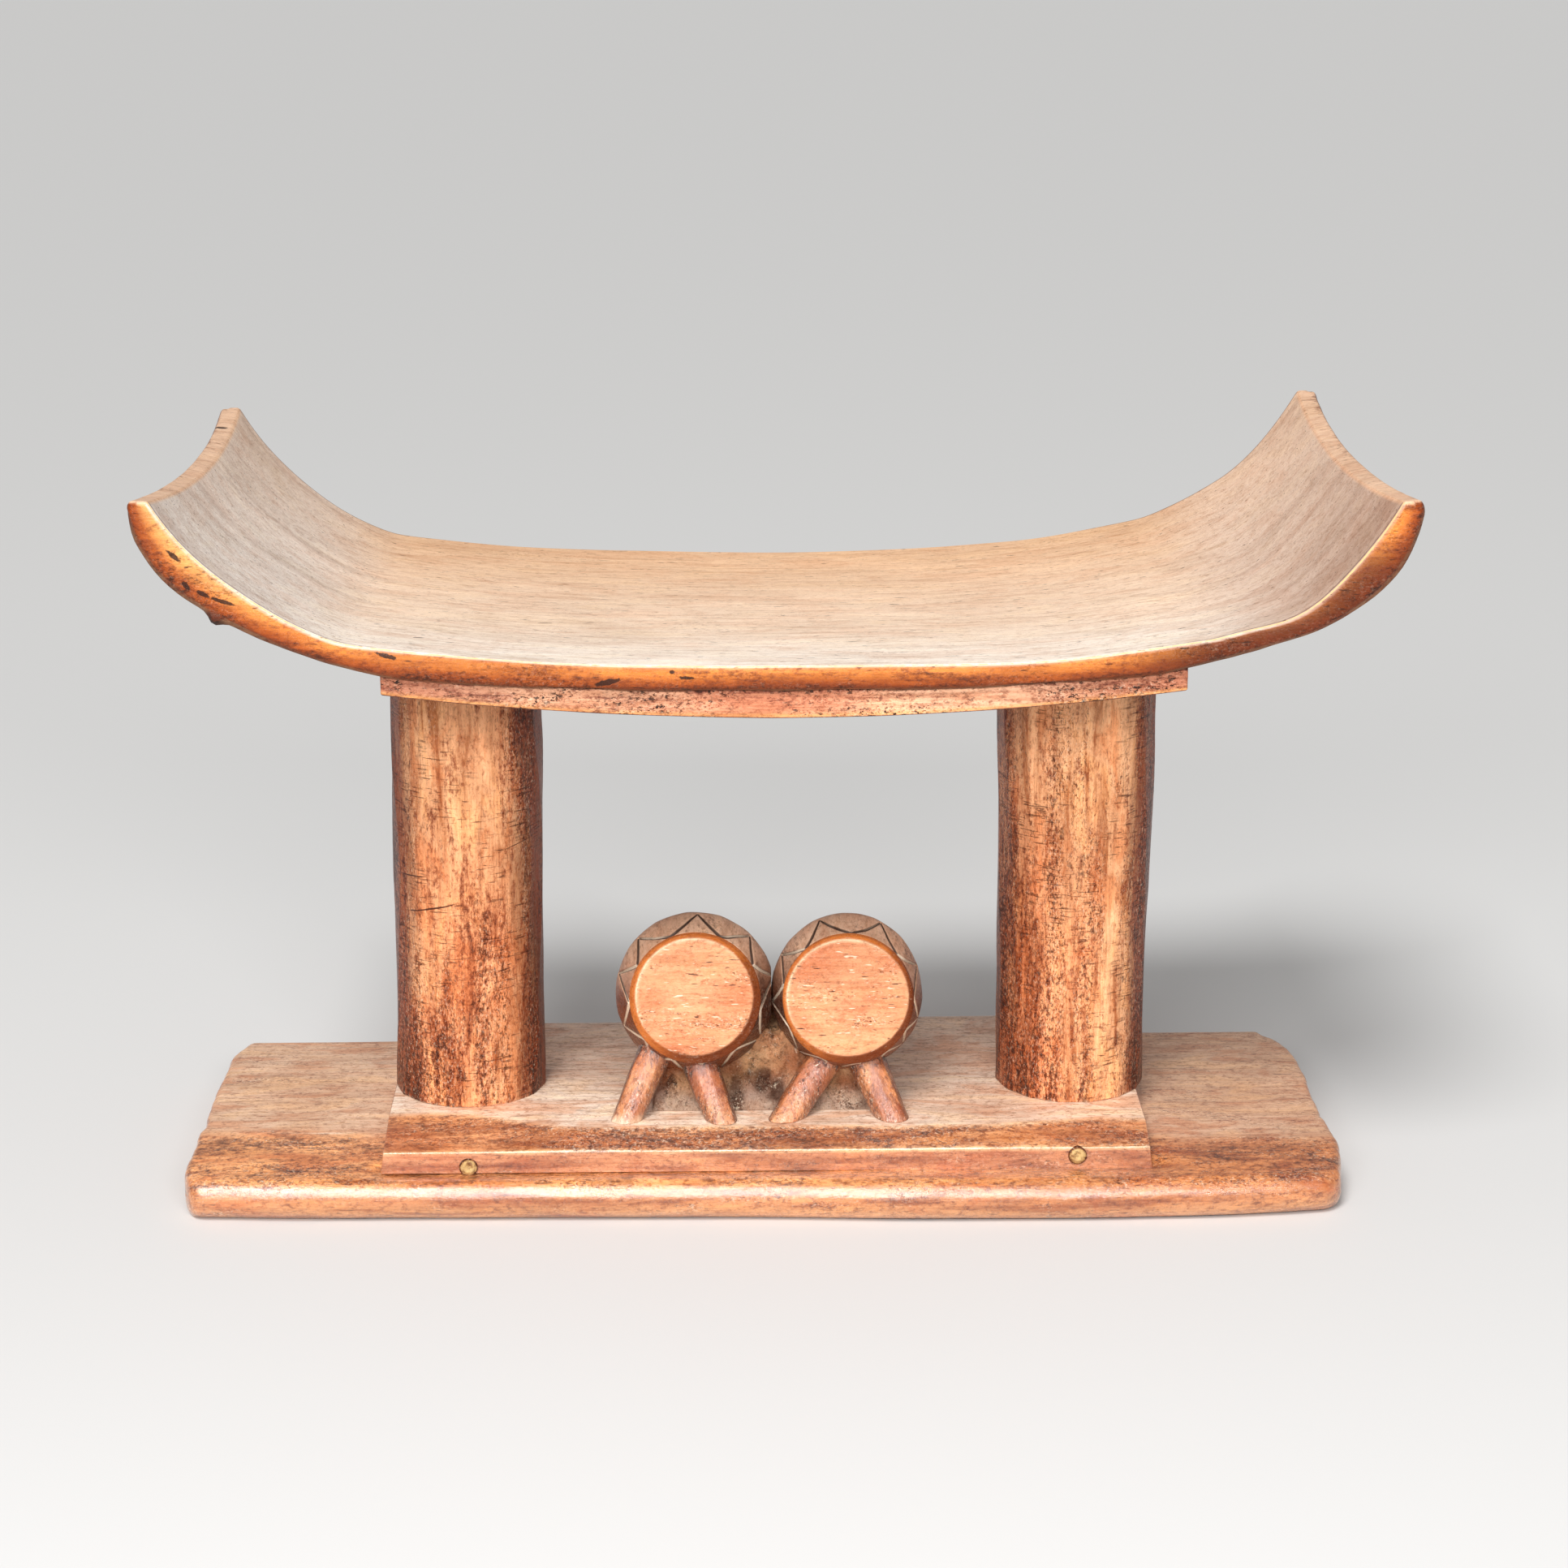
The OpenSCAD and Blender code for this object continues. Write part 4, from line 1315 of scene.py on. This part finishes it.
def make_cradle():
    low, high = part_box("drum_cradle")
    middle = (low + high) / 2
    points, faces = round_box((high - low) / 2, (1.1 * MM, 1.1 * MM, 1.1 * MM), 2 * MM, 1 * MM)
    x, y, z = (points + np.array(middle)).T
    share = (z - low.z) / (high.z - low.z)
    x = middle.x + (x - middle.x) * (1 - 0.2 * share)
    front = points[:, 1] < 0
    y = y + (3 * share - 9 * (1 - share) ** 3) * MM * front
    ceiling = below_drums(x, y, high.z)
    z = low.z + (np.maximum(ceiling, low.z + 2 * MM) - low.z) * share
    piece = Piece("drum_block", np.stack([x, y, z], 1), faces)
    p = piece.points
    hack = np.abs(layered_noise(p, (0.013, 0.013, 0.018), 81)) * -10 * MM + 2.2 * MM
    rough = layered_noise(p, 0.0045, 83) * 1.3 * MM
    p = piece.push((hack + rough) * smooth(0.02, 0.2, share))
    p[:, 2] = np.maximum(p[:, 2], low.z)
    piece.update()
    # painted shade: the hollows are painted dark, and crease marks a painted shadow, a dark upright strip
    # beside the left drum's inner leg
    hollow = smooth(0.6 * MM, 3.2 * MM, -hack)
    crease = bell(p[:, 0] + 20 * MM, 4 * MM) * smooth(0.75, 0.35, share)
    hollow = np.maximum(hollow, crease)
    rock = blend(srgb(255, 198, 148), srgb(196, 128, 88), smooth(-0.3, 0.5, value_noise(p, 0.012, 85)))
    rock = blend(rock, srgb(206, 180, 164), smooth(0.55, 0.1, share) * 0.8)
    piece.paint(
        blend(rock, srgb(92, 58, 42), hollow * 0.85),
        dust=0.7,
        dark=0.3 + 0.2 * hollow + 0.3 * value_noise(p, 0.006, 86),
        worn=0.35 * smooth(0.2, 0.7, value_noise(p, 0.003, 87)),
    )
    piece.finish("drum_cradle", ROUGH_WOOD)


make_seat()
make_bearer()
make_column("left_column", 101)
make_column("right_column", 151)
make_base()
make_step()
make_pegs()
make_cradle()
for side in SIDE_NAMES:
    make_drum_body(side)
    make_drum_head(side)
for number, node in enumerate(LEGS):
    make_leg(node, 200 + 20 * number)


# ---- stage, light and camera


def make_floor():
    """A wide pale floor, so that the picture shows nothing else behind the stool."""
    bpy.ops.mesh.primitive_plane_add(size=80, location=(0, 0, 0))
    floor = bpy.context.object
    floor.name = "stage_floor"
    material = bpy.data.materials.new("pale_floor")
    material.use_nodes = True
    shader = material.node_tree.nodes["Principled BSDF"]
    shader.inputs["Base Color"].default_value = (0.7, 0.695, 0.685, 1)
    shader.inputs["Roughness"].default_value = 0.8
    shader.inputs["Specular IOR Level"].default_value = 0.2
    floor.data.materials.append(material)


def aim_lamp(name, kind, place, aim, strength):
    """A white lamp at a place, turned to face aim."""
    data = bpy.data.lights.new(name, kind)
    data.energy = strength
    lamp = bpy.data.objects.new(name, data)
    lamp.location = place
    lamp.rotation_euler = (Vector(aim) - Vector(place)).to_track_quat("-Z", "Y").to_euler()
    bpy.context.scene.collection.objects.link(lamp)
    return data


def make_lights():
    """A long soft panel above the camera, a broad light overhead to the left, and an even pale sky."""
    panel = aim_lamp("front_panel", "AREA", (-0.1, -1.8, 1.0), (0, 0, 0.1), 30)
    panel.shape = "RECTANGLE"
    panel.size = 1.5
    panel.size_y = 0.4
    sun = aim_lamp("overhead", "SUN", (-0.8, -1.9, 3.0), (0, 0, 0.2), 2.2)
    sun.angle = math.radians(20)
    world = bpy.data.worlds.new("studio")
    world.use_nodes = True
    background = world.node_tree.nodes["Background"]
    background.inputs["Color"].default_value = (1, 1, 1, 1)
    background.inputs["Strength"].default_value = 0.3
    bpy.context.scene.world = world


def make_camera():
    """Stands where the photograph was taken from, in front of the stool and looking down at it."""
    data = bpy.data.cameras.new("camera")
    data.sensor_width = 36
    data.lens = 75.5
    camera = bpy.data.objects.new("camera", data)
    camera.location = (-0.0235, -1.5744, 0.6464)
    camera.rotation_euler = (math.radians(90 - 16.015), math.radians(0.086), math.radians(-1.057))
    bpy.context.scene.collection.objects.link(camera)
    bpy.context.scene.camera = camera


make_floor()
make_lights()
make_camera()
bpy.context.scene.view_settings.view_transform = "Standard"
